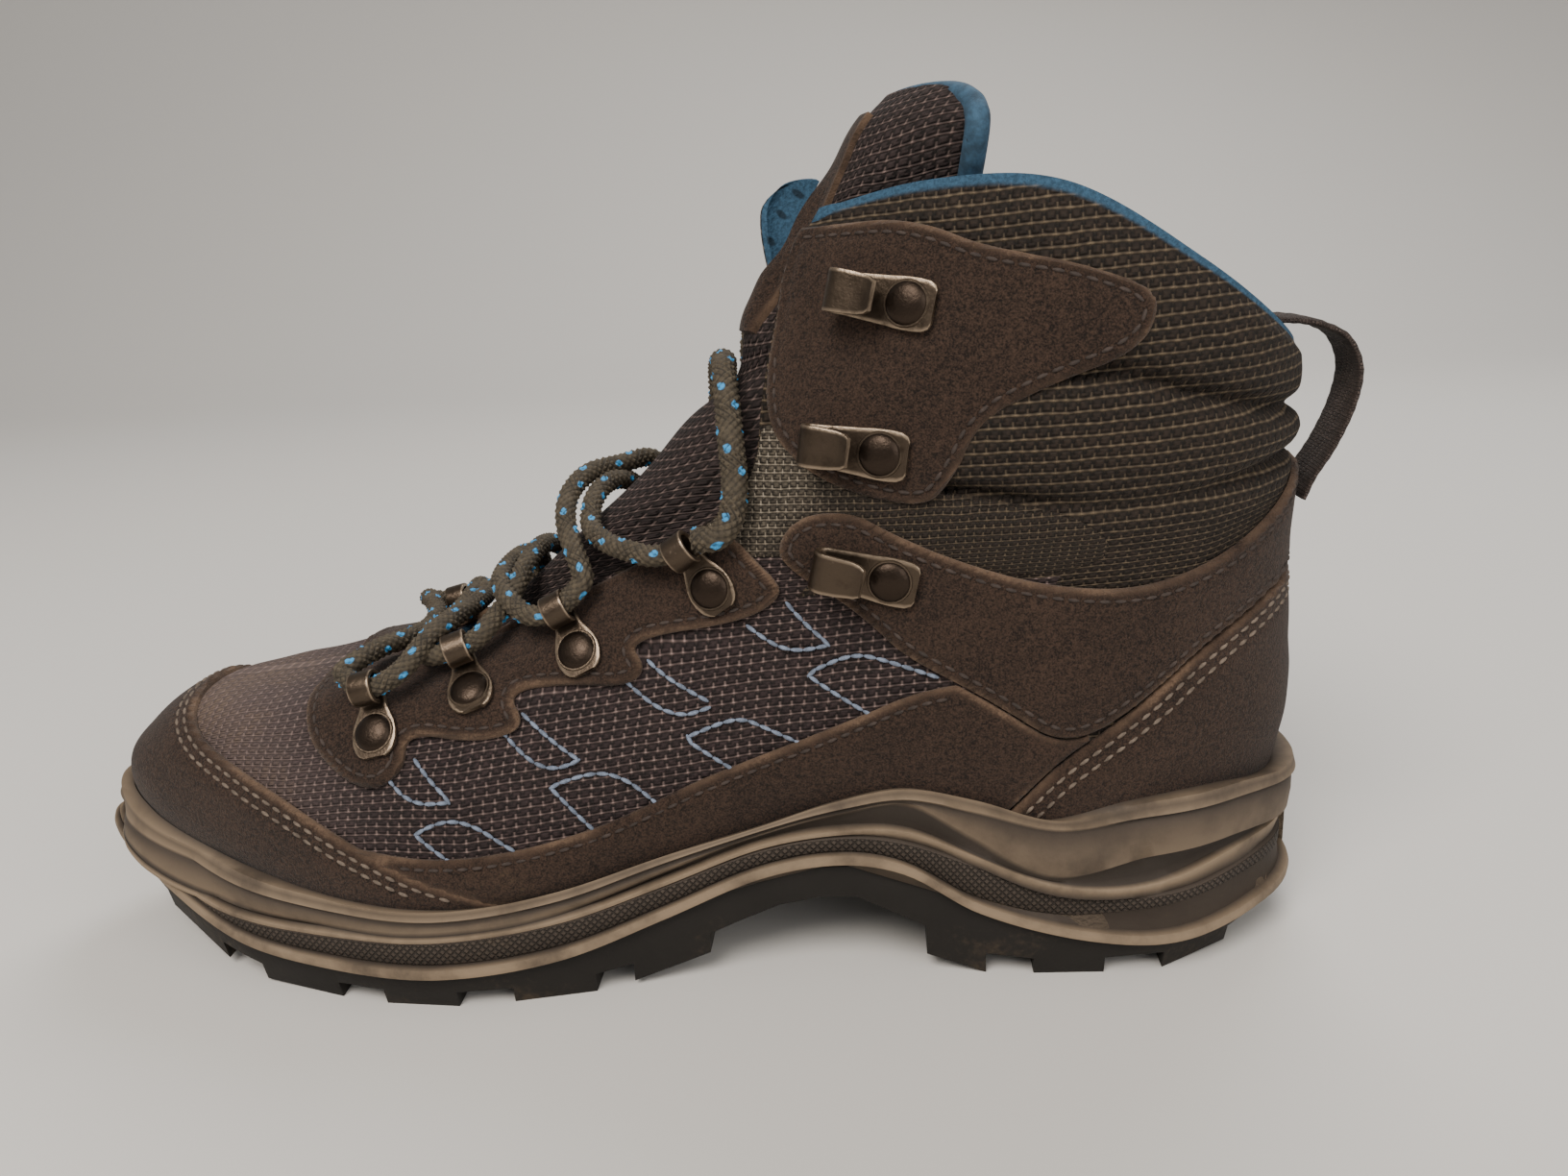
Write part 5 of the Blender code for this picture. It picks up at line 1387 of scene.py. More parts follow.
@dataclass
class Overlays:
    """The suede pieces, edge to edge, and their stitching."""

    flap_margin: float = 3.0          # from the ankle patch to the open flap's edge
    lapped: float = 1.4               # how far the rand runs on under the toe cap

    def pieces(self) -> list[Overlay]:
        """Toe cap, rands, eyestay, quarter, counter and ankle patches.

        Returns:
            The pieces, not yet built.
        """
        toe_cap, counter = Panel(mirrored(TOE_CAP)), Panel(round_heel(COUNTER))
        quarter_line = [*round_heel(QUARTER), *((360 - t, v) for t, v in reversed(QUARTER_LOW)), *QUARTER_LOW]
        quarter = Panel(quarter_line)

        def outside(panel: Panel, side: Side, wraps: bool) -> Depth:
            """The limit of a piece that ends at a panel.

            Args:
                panel: The neighbour.
                side: The piece's side.
                wraps: Whether the panel's turns run on through 180.
            Returns:
                The distance outside the panel.
            """
            def depth(places: Array) -> Array:
                """Distance outside the panel."""
                turns = places[:, 0] + (360 if wraps and side is Side.MEDIAL else 0)
                return -panel.depth(np.column_stack((turns, places[:, 1])))
            return depth

        def under(limit: Depth) -> Depth:
            """The limit of a piece that runs a little way on under its neighbour."""
            return lambda places: limit(places) + self.lapped

        found = [
            Overlay("toe_cap_suede", mirrored(TOE_CAP), (-90, 90), (FEATHER, 2.5), 1.7, (2.0, 4.2),
                    nodes=("toe_cap",)),
            Overlay("counter_suede", round_heel(COUNTER), (112, 248), (FEATHER, 3.6), 1.9, (2.0, 4.4),
                    nodes=("heel_counter",)),
            Overlay("quarter_suede", quarter_line, (68, 292), (0.6, 5.5), 1.6,
                    limits=(outside(counter, Side.LATERAL, False),), nodes=("quarter",)),
            Overlay("eyestay_suede", mirrored(EYESTAY + ((40, 5.6), (0, 5.6))), (-92, 92), (0.8, 5.4), 1.6,
                    at_throat=True, nodes=("eyestay",), lift=1.7 * GAP),
        ]
        for side in Side:
            sign, word = side.value, side.name.lower()
            low, high = sorted((sign * 54.0, sign * 138.0))
            found.append(Overlay(
                f"rand_suede_{word}", [(sign * t, v) for t, v in RAND], (low, high), (FEATHER, 2.6), 1.4,
                (2.0,), (under(outside(toe_cap, side, False)), outside(quarter, side, True),
                         outside(counter, side, True)), nodes=("rand_" + word,)))
            low, high = sorted((sign * 6.0, sign * 116.0))
            found.append(Overlay(
                f"ankle_patch_suede_{word}", [(sign * t, v) for t, v in ANKLE_PATCH], (low, high),
                (5.0, 7.95), 1.6, (2.2,),
                (lambda places: flap_depth(places) - self.flap_margin,) if side is Side.LATERAL else (),
                at_throat=True, nodes=("ankle_patch_" + word,)))
        return found

    def build(self) -> None:
        """Make each piece, then sew them all."""
        suede = Suede("brown_suede").material()
        pale, dark = [], []
        for overlay in self.pieces():
            overlay.build(suede)
            rows = pale if overlay.name in ("toe_cap_suede", "counter_suede") else dark
            rows += [(path, overlay.height) for path in overlay.seam_paths()]
        for word, rows, colour in (("", pale, srgb(118, 104, 91)), ("dark_", dark, srgb(66, 55, 49))):
            thread = Thread((word or "seam_") + "thread", colour)
            stitch_rows(word + "seam_stitches", rows, thread.material(), "suede")
        shapes = []
        for side in Side:
            for line in DECORATION:
                dense = soften(line, 2, closed=False)
                dense = np.vstack([dense[0]] + [np.linspace(a, b, 5)[1:] for a, b in zip(dense, dense[1:])])
                ends = [end + (end - near) / np.linalg.norm((end - near) * UNROLLED) * RUN_UNDER
                        for end, near in ((dense[0], dense[1]), (dense[-1], dense[-2]))]
                dense = np.vstack((ends[0], dense, ends[1]))
                shapes.append((dense * (side.value, 1), lambda t, v: np.full(len(t), 0.25)))
        blue = Thread("pattern_thread", srgb(128, 140, 160)).material()
        stitch_rows("pattern_stitches", shapes, blue, "mesh_textile", pitch=2.6, length=2.5, radius=0.48)


# ---------------------------------------------------------------- the tongue


@dataclass
class Tongue:
    """The padded tongue, pressed in where the loose lace crosses it."""

    half_turn: float = 70.0
    half_width: float = 32.0          # of its cloth
    thick: float = 5.0
    shoulder: float = 8.15
    bound_from: float = 7.3           # where the bound edge begins on each side
    strip_half: float = 0.27          # half the share of the width under the suede strip
    dent_level: float = 6.65
    dent: float = 4.8
    dent_half: float = 0.24
    wave: float = 0.5                 # of its padding, towards the top
    binding: float = 2.3              # radius of the bound edge

    def size(self, share: Array, level: Array) -> Array:
        """Millimetres across and up the cloth."""
        return np.column_stack((share * self.half_width, level * RING_HEIGHT))

    def outer(self, share: Array, level: Array) -> Array:
        """Its outer face at a share across and a level up.

        Args:
            share: From -1 to 1 across the tongue.
            level: Levels.
        Returns:
            Points in boot millimetres.
        """
        turn = share * (self.half_turn - 5.0 * blend(level, 6.6, 8.4))
        in_gap = THROAT_GAP.depth(np.column_stack((turn, level)))
        covered = (1 - blend(in_gap, 3.5, 11.0)) * (1 - blend(level, COLLAR, 8.6))
        sunk = 0.5 + 2.5 * (1 - blend(level, 4.6, 5.6))
        sunk = sunk + self.dent * np.exp(-((level - self.dent_level) / self.dent_half) ** 2)
        wave = blend(level, 7.0, 7.4) * (1 - blend(np.abs(share), 0.5, 0.9))
        sunk = sunk + self.wave * np.cos(level * 9.0) * wave
        depth = sunk + np.maximum(wall(turn, level) + 1.3 - sunk, 0) * covered
        top = self.shoulder + (TONGUE_TOP - self.shoulder) * np.sqrt(1 - 0.97 * share ** 4)
        return on_last(turn, np.minimum(level, top), -depth)

    def at(self, share: Array, level: Array, part: Array) -> Array:
        """Its faces: part 0 outside and 1 inside.

        Args:
            share: From -1 to 1 across the tongue.
            level: Levels.
            part: From 0 outside to 1 inside.
        Returns:
            Points in boot millimetres.
        """
        crest = on_rings(np.zeros(len(level)), level - 0.05), on_rings(np.zeros(len(level)), level)
        rise = crest[1] - crest[0]
        inward = np.column_stack((rise[:, 2], np.zeros(len(level)), -rise[:, 0]))
        inward /= np.hypot(rise[:, 0], rise[:, 2])[:, None]
        round_edge = np.sqrt(np.clip(1 - np.abs(share) ** 8, 0, 1)) * 0.75 + 0.25
        thick = self.thick * blend(level, 2.6, 4.6) * np.reshape(part, -1)
        return self.outer(share, level) + (thick * round_edge)[:, None] * inward

    def build(self) -> None:
        """Make the tongue and the bound edge at its top."""
        pattern = flat_grid(np.linspace(-1, 1, 61), np.concatenate((np.linspace(3.7, 8.1, 96),
                                                                    np.linspace(8.13, TONGUE_TOP, 22))))
        tongue = Sheet("padded_tongue", pattern, inner=lambda share, level: np.ones(len(share)),
                       outer=lambda share, level: np.zeros(len(share)), at=self.at, size=self.size).build()
        textile = Textile("tongue_textile", srgb(20, 16, 15), srgb(52, 42, 41), srgb(122, 104, 98),
                          0.19, 0.16, mud=0.03, lining=LINING, rim=NO_RIM)
        dress(tongue, textile.material(), "mesh_textile", "tongue")
        rising = np.linspace(self.bound_from, self.shoulder, 24)
        share = np.concatenate((np.full(24, -0.985), np.linspace(-0.97, 0.97, 70), np.full(24, 0.985)))
        up = np.concatenate((rising, np.full(70, TONGUE_TOP), rising[::-1]))
        edge = self.at(share, up, np.full(len(up), 0.55))
        edge = smooth_route([tuple(point) for point in edge[::3]], 0.7)
        binding = tube("tongue_binding", edge, self.binding, 14)
        dress(binding, Thread("binding_thread", LINING).material(), "mesh_textile")
        pattern = flat_grid(np.linspace(-self.strip_half, self.strip_half, 15),
                            np.linspace(6.9, TONGUE_TOP - 0.22, 60))
        strip = Sheet("tongue_strip", pattern, inner=lambda share, level: np.full(len(share), 0.02),
                      outer=lambda share, level: np.full(len(share), -0.24), at=self.at,
                      marks={"edge": lambda at: (self.strip_half - np.abs(at[:, 0])) * self.half_width},
                      size=self.size).build()
        dress(strip, bpy.data.materials["brown_suede"], "suede")


def smooth_route(route: Sequence[Sequence[float]], step: float) -> Array:
    """Points a step apart on a smooth curve through a route's places.

    Args:
        route: Places on the curve.
        step: Distance between points.
    Returns:
        The points.
    """
    places = np.array(route, float)
    places = np.vstack((2 * places[0] - places[1], places, 2 * places[-1] - places[-2]))
    fine = []
    for before, start, end, after in zip(places, places[1:], places[2:], places[3:]):
        for part in np.linspace(0, 1, 16, endpoint=False):
            fine.append(0.5 * (2 * start + (end - before) * part
                               + (2 * before - 5 * start + 4 * end - after) * part ** 2
                               + (3 * start - before - 3 * end + after) * part ** 3))
    fine = np.array(fine + [places[-2]])
    run = lengths(fine)
    wanted = np.linspace(0, run[-1], max(2, round(run[-1] / step) + 1))
    return np.column_stack([np.interp(wanted, run, fine[:, axis]) for axis in range(3)])


def carried_frames(path: Array) -> tuple[Array, Array]:
    """Two directions across a path at each point, carried along it without twist.

    Args:
        path: The points.
    Returns:
        Two unit vectors for each point.
    """
    ahead = unit(np.gradient(path, axis=0))
    up = np.cross(ahead[0], (0.0, 1.0, 0.0))
    ups = []
    for way in ahead:
        up = unit(up - way * np.dot(up, way))
        ups.append(up)
    ups = np.array(ups)
    return ups, np.cross(ahead, ups)


def tube(name: str, path: Array, radius: float | Callable, sides: int,
         marks: dict[str, Callable] | None = None) -> Object:
    """A closed tube along a path.

    Args:
        name: The object's name.
        path: Points in boot millimetres.
        radius: Its radius, or a function of angle and length along.
        sides: Faces round it.
        marks: Float attributes, each a function of angle and length along.
    Returns:
        The object.
    """
    up, aside = carried_frames(path)
    run = lengths(path)
    angles = np.linspace(0, 2 * math.pi, sides + 1)
    bm = flat_grid(angles, np.arange(len(path), dtype=float))
    layers = {key: bm.verts.layers.float.new(key) for key in (marks or {})}
    flat = places_of(bm.verts)
    row = np.round(flat[:, 1]).astype(int)
    angle, length = flat[:, 0], run[row]
    size = radius(angle, length) if callable(radius) else np.full(len(angle), radius)
    round_it = np.cos(angle)[:, None] * up[row] + np.sin(angle)[:, None] * aside[row]
    points = path[row] + size[:, None] * round_it
    values = {key: mark(angle, length) for key, mark in (marks or {}).items()}
    for k, vert in enumerate(bm.verts):
        vert.co = points[k]
        for key, layer in layers.items():
            vert[layer] = values[key][k]
    closed(bm, 0.001)
    return finished(name, bm)


# ---------------------------------------------------------------- the sole


class Outline(NamedTuple):
    """Half widths of the sole at its bead."""

    station: float
    medial: float
    lateral: float


SOLE_POWER = 1.9
OUTLINE = tuple(Outline(*row) for row in (
    (11, 14, 16.5), (41, 34, 37), (66, 42.8, 46), (92, 47.4, 50),
    (118, 43.9, 50.5), (145, 38, 46.5), (172, 34.8, 41.5),
    (205, 36.4, 38.5), (229, 36.6, 37), (250, 33, 33.5),
    (267, 21.5, 21.5),
))


class Wall(NamedTuple):
    """Heights of the lines along the sole's side, and how deep the face is dug out, which also sets how dark
    its painted shade is.
    """

    station: float
    bead: float
    knurl_low: float
    knurl_top: float
    ledge: float
    face_low: float
    rim_low: float
    rim_top: float
    dig: float


WALL = tuple(Wall(*row) for row in (
    # station, bead, knurl_low, knurl_top, ledge, face_low, rim_low, rim_top, dig
    (0, 25.5, 28, 28.3, 29, 30.2, 33, 40, 1),
    (8, 22.3, 24.9, 25.1, 26, 27.4, 31, 39, 1),
    (18, 18.5, 21.1, 21.4, 22.2, 24, 29, 34, 1),
    (34, 14, 16.6, 17.2, 18.2, 19.8, 25.8, 29.4, 1),
    (50, 10.6, 13.2, 16.2, 17.2, 18.6, 23.6, 26.9, 1),
    (70, 9, 11.6, 16, 17, 18.2, 22, 25.1, 1),
    (95, 8.7, 11.3, 16.5, 17.4, 18.6, 21.2, 24, 1),
    (118, 10.5, 13.1, 18.2, 19.2, 20.4, 23.2, 25.9, 1),
    (140, 17, 19.5, 23.6, 24.8, 26.4, 28.8, 31, 1.6),
    (160, 24.2, 26.6, 29.8, 31.2, 33, 34, 35.6, 3),
    (178, 26.9, 29.2, 32.4, 34, 37.4, 38.6, 41.2, 5.5),
    (191, 24.7, 27, 31.3, 34, 39.8, 41, 44, 5.5),
    (205, 16.5, 19.2, 26.3, 28.8, 32.4, 38.6, 42, 3.6),
    (222, 11, 15, 20, 22.8, 24.6, 34.8, 37.6, 2.2),
    (240, 8, 15.2, 18.1, 21, 27.4, 37, 40.8, 4),
    (258, 8.3, 16.5, 19.3, 24, 28, 37.2, 41, 3.6),
    (270, 9.5, 17.2, 20.8, 25, 26.6, 35.8, 39, 2.4),
    (278, 10.5, 17.5, 21, 24.4, 25.6, 34.6, 38, 1.6),
))


class Relief(NamedTuple):
    """How far each line of the sole's side lies inside its bead."""

    station: float
    band: float
    rim: float
    rim_top: float


RELIEF = tuple(Relief(*row) for row in (
    (0, 1.4, 2.6, 7.6), (18, 1.2, 2.6, 6.2), (34, 1.2, 2.4, 4.4),
    (60, 1.4, 1.6, 2.8), (95, 1.6, 1.4, 2.4), (150, 1.6, 1.6, 2.4),
    (178, 1.6, 1.8, 2.6), (205, 1.6, 1.4, 2.2), (240, 2.2, 0.8, 1.6),
    (278, 2.6, 0.3, 1.2),
))


def sole_half(station: Array, lateral: bool) -> Array:
    """Half width of the sole's bead at each station, on one side.

    Args:
        station: Where it is read.
        lateral: Whether this is the lateral side.
    Returns:
        A half width for each station.
    """
    knots = np.array([row.station for row in OUTLINE]) / LENGTH
    widths = np.array([row.lateral if lateral else row.medial for row in OUTLINE])
    widths = widths / fullness(knots, SOLE_POWER)
    return fullness(station / LENGTH, SOLE_POWER) * (knot_weights(knots, station / LENGTH) @ widths)


def on_sole(turn: Array, inset: Array | float) -> Array:
    """Plan points of the sole's outline, moved in by inset.

    Args:
        turn: Degrees round the sole, which set the station.
        inset: Millimetres inwards.
    Returns:
        Station and side of each point.
    """
    def bead(angle: Array) -> Array:
        """Plan points of the outline itself."""
        station = LENGTH * (1 - np.cos(np.radians(angle))) / 2
        half = np.where(np.sin(np.radians(angle)) >= 0, sole_half(station, True), -sole_half(station, False))
        return np.column_stack((station, centre_line(station) + half))

    ahead = bead(turn + 1.5) - bead(turn - 1.5)
    return bead(turn) + np.reshape(inset, (-1, 1)) * unit(np.column_stack((ahead[:, 1], -ahead[:, 0])))


class Heights:
    """How high the last's foot stands at each level, on each column."""

    def __init__(self, turn: Array, count: int = 51) -> None:
        """Measure every column once.

        Args:
            turn: A turn for each column.
            count: How many levels are tried.
        """
        self.tries = np.linspace(FEATHER, 1.5, count)
        spread = on_last(np.repeat(turn, count), np.tile(self.tries, len(turn)))
        self.table = spread[:, 2].reshape(len(turn), count)

    def level(self, height: Array) -> Array:
        """Level at which each column reaches a height."""
        return np.array([np.interp(wanted, column, self.tries) for wanted, column in zip(height, self.table)])


@dataclass
class Midsole:
    """The moulded cup: bead, knurled band, ledge, dug face and rim."""

    columns: int = 400
    seat: float = 2.2                 # the cup's inner face, out from the last
    rim_wall: float = 1.3
    heights: Heights | None = None

    def rings(self, turn: Array) -> list[tuple[Array, float, float, float]]:
        """Rings from the foot up: points, how knurled each is, how much painted shade it takes as a hollow,
        and how pale it is as a ridge.

        Args:
            turn: A turn for each column.
        Returns:
            The rings.
        """
        station = LENGTH * (1 - np.cos(np.radians(turn))) / 2
        band, rim, rim_top = (along(RELIEF, column, station) for column in ("band", "rim", "rim_top"))
        found = []

        def ring(inset: Array | float, height: Callable, knurl: float, hollow: float, ridge: float,
                 kept_clear: bool = False) -> None:
            """Add a ring.

            Args:
                inset: How far it lies inside the bead.
                height: Its height at a station.
                knurl: How knurled it is.
                hollow: How much painted shade it takes, as a hollow.
                ridge: How pale it is, partly rubbed and partly painted highlight.
                kept_clear: Whether it keeps clear of the shell.
            """
            plan = on_sole(turn, np.broadcast_to(inset, len(turn)))
            points = np.column_stack((plan, height(plan[:, 0])))
            found.append((self.clear_of(turn, points) if kept_clear else points, knurl, hollow, ridge))

        def at(column: str, raised: float = 0.0) -> Callable:
            """The height of a line of the wall, raised a little."""
            return lambda places: along(WALL, column, places) + raised

        def between(lower: str, upper: str, share: float) -> Callable:
            """The height at a share of the way from one line of the wall to another."""
            low, high = at(lower), at(upper)
            return lambda places: (1 - share) * low(places) + share * high(places)

        dig = along(WALL, "dig", station)
        ring(0.9, at("bead", -0.1), 0, 0, 0.3)
        ring(0.15, at("bead", 0.1), 0, 0, 1)
        ring(0.0, at("bead", 1.2), 0, 0, 1)
        ring(0.3, at("bead", 2.2), 0, 0, 0.8)
        ring(band - 0.2, at("bead", 2.6), 0, 0.3, 0)
        ring(band + 0.3, at("knurl_low"), 0, 0.5, 0)
        ring(band, at("knurl_low", 0.4), 1, 0, 0)
        ring(band, between("knurl_low", "knurl_top", 0.5), 1, 0, 0)
        ring(band, at("knurl_top", -0.3), 1, 0, 0)
        ring(band + 0.3, at("knurl_top"), 0, 0.2, 0)
        ring(band + 0.9, at("knurl_top", 0.3), 0, 0.6, 0, True)
        ring(band + 0.1, at("ledge", -0.8), 0, 0, 0.8, True)
        ring(band + 0.1, at("ledge"), 0, 0, 1, True)
        ring(band + 0.6 + 0.7 * dig, at("ledge", 0.7), 0, 0.7, 0, True)
        ring(band + 0.8 + dig, between("ledge", "face_low", 0.4), 0, 1, 0, True)
        ring(band + 0.6 + 0.8 * dig, at("face_low", -0.4), 0, 0.8, 0, True)
        ring(rim + 0.9, at("face_low", 0.5), 0, 0.2, 0.6, True)
        ring(rim + 0.5, between("face_low", "rim_low", 0.5), 0, 0, 0.3, True)
        ring(rim + 0.6, at("rim_low", -0.8), 0, 0, 0, True)
        ring(rim + 1.0, at("rim_low", -0.1), 0, 0.6, 0, True)
        ring(rim - 0.1, at("rim_low", 0.6), 0, 0, 0.8, True)
        ring(rim + 0.35 * (rim_top - rim), between("rim_low", "rim_top", 0.6), 0, 0, 0.3, True)
        ring(rim_top - 0.3, at("rim_top", -0.3), 0, 0, 0.7, True)
        return found

    def clear_of(self, turn: Array, points: Array) -> Array:
        """Points moved out to keep the rim's wall round the shell.

        Args:
            turn: A turn for each column.
            points: One ring.
        Returns:
            The same ring.
        """
        inner = on_last(turn, self.heights.level(points[:, 2]), self.seat)
        outward = unit((inner - on_last(turn, np.zeros(len(turn)), -5.0))[:, :2])
        short = self.rim_wall - np.sum((points - inner)[:, :2] * outward, axis=1)
        points[:, :2] += np.maximum(short, 0)[:, None] * outward
        return points

    def build(self) -> None:
        """Make the midsole as one closed loft."""
        turn = np.linspace(-180, 180, self.columns + 1)
        turn[0], turn[-1] = -179.999, 179.999
        self.heights = Heights(turn)
        rings = self.rings(turn)
        top = rings[-1][0]
        level = self.heights.level(top[:, 2])
        for height in (level, np.minimum(0.0, level - 0.08)):
            rings.append((on_last(turn, height, self.seat), 0, 0, 0))
        rings.append((on_last(turn, np.full(len(turn), FEATHER), self.seat - GAP), 0, 0, 0))
        bm = flat_grid(np.arange(len(turn), dtype=float), np.arange(len(rings), dtype=float))
        layers = {key: bm.verts.layers.float.new(key) for key in ("knurl", "hollow", "ridge", "run", "rise")}
        run = lengths(rings[2][0])
        for vert in bm.verts:
            column, row = round(vert.co.x), round(vert.co.y)
            points, knurl, hollow, ridge = rings[row]
            vert.co = points[column]
            vert[layers["run"]], vert[layers["rise"]] = run[column], points[column][2]
            # the painted shade on the dug face grows darker where the face is dug deeper
            dug = min(1.0, dug_face_shade(turn[column])) if hollow > 0.5 else 1.0
            for key, value in (("knurl", knurl), ("hollow", hollow * dug), ("ridge", ridge)):
                vert[layers[key]] = value
        uv = bm.loops.layers.uv.new("flat")
        for face in bm.faces:
            for loop in face.loops:
                loop[uv].uv = loop.vert[layers["run"]] / 10, loop.vert[layers["rise"]] / 10
        closed(bm, 0.004)
        # its second colour is the ridges' rub and painted highlight
        foam = Rubber("moulded_foam", srgb(68, 59, 51), srgb(134, 116, 95), 0.04, 0.06, knurled=True)
        dress(finished("moulded_midsole", bm, 50.0), foam.material(), "midsole", "midsole")


def dug_face_shade(turn: float) -> float:
    """How dark the painted shade on the dug face is at a turn, from 0.3 to 1, following how deep it is dug.
    """
    station = np.array([LENGTH * (1 - math.cos(math.radians(turn))) / 2])
    return 0.3 + float(along(WALL, "dig", station)[0]) / 6


@dataclass
class Outsole:
    """The lugged tread, with its edges rounded."""

    node: Object
    edge: float = 0.7

    def build(self) -> None:
        """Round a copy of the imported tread."""
        bm = bmesh.new()
        bm.from_mesh(self.node.data)
        bmesh.ops.remove_doubles(bm, verts=bm.verts, dist=1e-6)
        bmesh.ops.dissolve_limit(bm, angle_limit=math.radians(1.5), verts=bm.verts, edges=bm.edges)
        sharp = [edge for edge in bm.edges if len(edge.link_faces) == 2 and edge.calc_face_angle(0) > 0.5]
        bmesh.ops.bevel(bm, geom=sharp, offset=self.edge * MM, segments=2, profile=0.5, affect="EDGES",
                        material=-1, clamp_overlap=True)
        bmesh.ops.recalc_face_normals(bm, faces=bm.faces)
        rubber = Rubber("dark_rubber", srgb(30, 27, 24), srgb(84, 72, 60), 0.06, 0.03)
        dress(meshed("rubber_tread", bm, 35.0), rubber.material(), "outsole", "outsole")


# ---------------------------------------------------------------- metal and webbing


class Bend(NamedTuple):
    """A place on a strap's middle line, from its rivet, and the strap's half width there."""

    ahead: float
    above: float
    half_width: float


def arc_bends(ahead: float, above: float, radius: float, first: float, last: float, count: int,
              half_width: float) -> tuple[Bend, ...]:
    """Bends along an arc from one angle to another."""
    angles = np.radians(np.linspace(first, last, count))
    return tuple(Bend(ahead + radius * math.cos(a), above + radius * math.sin(a), half_width) for a in angles)


STRAP = 1.0                               # thickness of a fitting's metal
BASE = (Bend(-5.2, 0.5, 2.4), Bend(-4.6, 0.5, 3.4), Bend(-3.6, 0.5, 4.2), Bend(-1.8, 0.5, 4.8),
        Bend(0.0, 0.5, 4.9), Bend(1.8, 0.5, 4.6), Bend(3.6, 0.5, 3.9), Bend(5.4, 0.5, 3.1))
PLATE = (Bend(-5.4, 0.5, 3.2), Bend(-5.0, 0.5, 4.1), Bend(-3.8, 0.5, 4.7), Bend(-1.8, 0.5, 4.9),
         Bend(0.0, 0.5, 4.9), Bend(1.8, 0.5, 4.8), Bend(3.6, 0.5, 4.6))
LOOP_BENDS = BASE + arc_bends(9.0, 3.7, 3.2, -95, 205, 22, 2.5)
HOOK_BENDS = PLATE + arc_bends(12.2, 3.1, 2.6, -90, 90, 13, 4.0) + (
    Bend(9.6, 5.6, 3.9), Bend(7.4, 5.3, 3.7), Bend(5.8, 5.7, 3.4), Bend(4.8, 6.2, 2.8))


class Fitting(NamedTuple):
    """Where a loop or hook is riveted, and which way it reaches."""

    turn: float
    level: float
    tip_turn: float
    tip_level: float


LACE_LOOPS = (
    Fitting(57.0, 1.70, 50.5, 2.35), Fitting(62.5, 2.40, 49.0, 3.35), Fitting(67.0, 3.30, 52.0, 4.20),
    Fitting(73.5, 4.28, 58.0, 5.05),
)
SPEED_HOOKS = (
    Fitting(97.5, 4.10, 86.0, 4.48), Fitting(78.0, 5.83, 65.0, 5.95), Fitting(67.5, 7.00, 51.0, 7.10),
)


@dataclass
class Hardware:
    """The riveted loops and hooks."""

    rivet_radius: float = 4.1
    sides: int = 20
    lip: float = 0.9                  # how far the strap's edges stand up
    corner: float = 0.45              # how square the strap's section is, 1 for an oval
    dome: float = 1.5                 # height of a rivet's head over the strap
    over_suede: float = 1.4 + 3 * GAP           # height of the strap's foot over the last

    def fitting(self, name: str, fitting: Fitting, side: Side, bends: tuple[Bend, ...]) -> Object:
        """One bent strap with its domed rivet.

        Args:
            name: The piece's name.
            fitting: Its place.
            side: The boot's side.
            bends: The strap's middle line.
        Returns:
            The object.
        """
        turn, level, tip_turn, tip_level = np.array(fitting) * (side.value, 1, side.value, 1)
        point, normal = on_last(turn, level, self.over_suede)[0], normals_at(turn, level)[0]
        reach = on_last(tip_turn, tip_level, self.over_suede)[0] - point
        reach = unit(reach - normal * np.dot(reach, normal))
        across = np.cross(normal, reach)
        path = np.array([(bend.ahead, bend.above) for bend in bends])
        run = unit(np.gradient(path, axis=0))
        lift = np.column_stack((-run[:, 1], run[:, 0])) * STRAP / 2
        bm = flat_grid(np.linspace(0, 2 * math.pi, self.sides + 1), np.arange(len(bends), dtype=float))
        worn = bm.verts.layers.float.new("worn")
        for vert in bm.verts:
            angle, row = vert.co.x, round(vert.co.y)
            wide, high = squared(math.cos(angle), self.corner), squared(math.sin(angle), self.corner)
            raised = 1 + self.lip * max(0.0, abs(wide) - 0.7)
            ahead, above = path[row] + high * raised * lift[row]
            vert.co = point + ahead * reach + above * normal + wide * bends[row].half_width * across
            # the strap's edges take the bright colour, partly wear and partly painted highlight
            vert[worn] = 0.85 if abs(wide) > 0.85 else 0.1
        closed(bm, 0.001)
        axes = reach * self.rivet_radius, across * self.rivet_radius, normal * self.dome
        frame = Matrix(axes).transposed().to_4x4()
        frame.translation = Vector(point + STRAP * normal)
        head = bmesh.ops.create_uvsphere(bm, u_segments=24, v_segments=12, radius=1.0, matrix=frame)
        rim = bmesh.ops.create_cone(bm, cap_ends=True, segments=24, radius1=1.13, radius2=1.05, depth=0.35,
                                    matrix=frame)
        for vert in rim["verts"]:
            vert[worn] = 0.2
        for face in {face for vert in head["verts"] for face in vert.link_faces}:
            face.material_index = 1
        bmesh.ops.recalc_face_normals(bm, faces=bm.faces)
        return finished(name, bm, 45.0)

    def build(self) -> None:
        """Make four loops and three hooks on each side."""
        metal = Metal("gunmetal_plate").material()
        dark = Metal("dark_rivet", srgb(52, 43, 36), srgb(104, 88, 74)).material()
        for kind, fittings, bends in (("lace_loop", LACE_LOOPS, LOOP_BENDS),
                                      ("speed_hook", SPEED_HOOKS, HOOK_BENDS)):
            for number, fitting in enumerate(fittings, 1):
                for side in Side:
                    node = f"{kind}_{number}_{side.name.lower()}"
                    piece = self.fitting(node + "_metal", fitting, side, bends)
                    dress(piece, metal, "gunmetal", node).data.materials.append(dark)


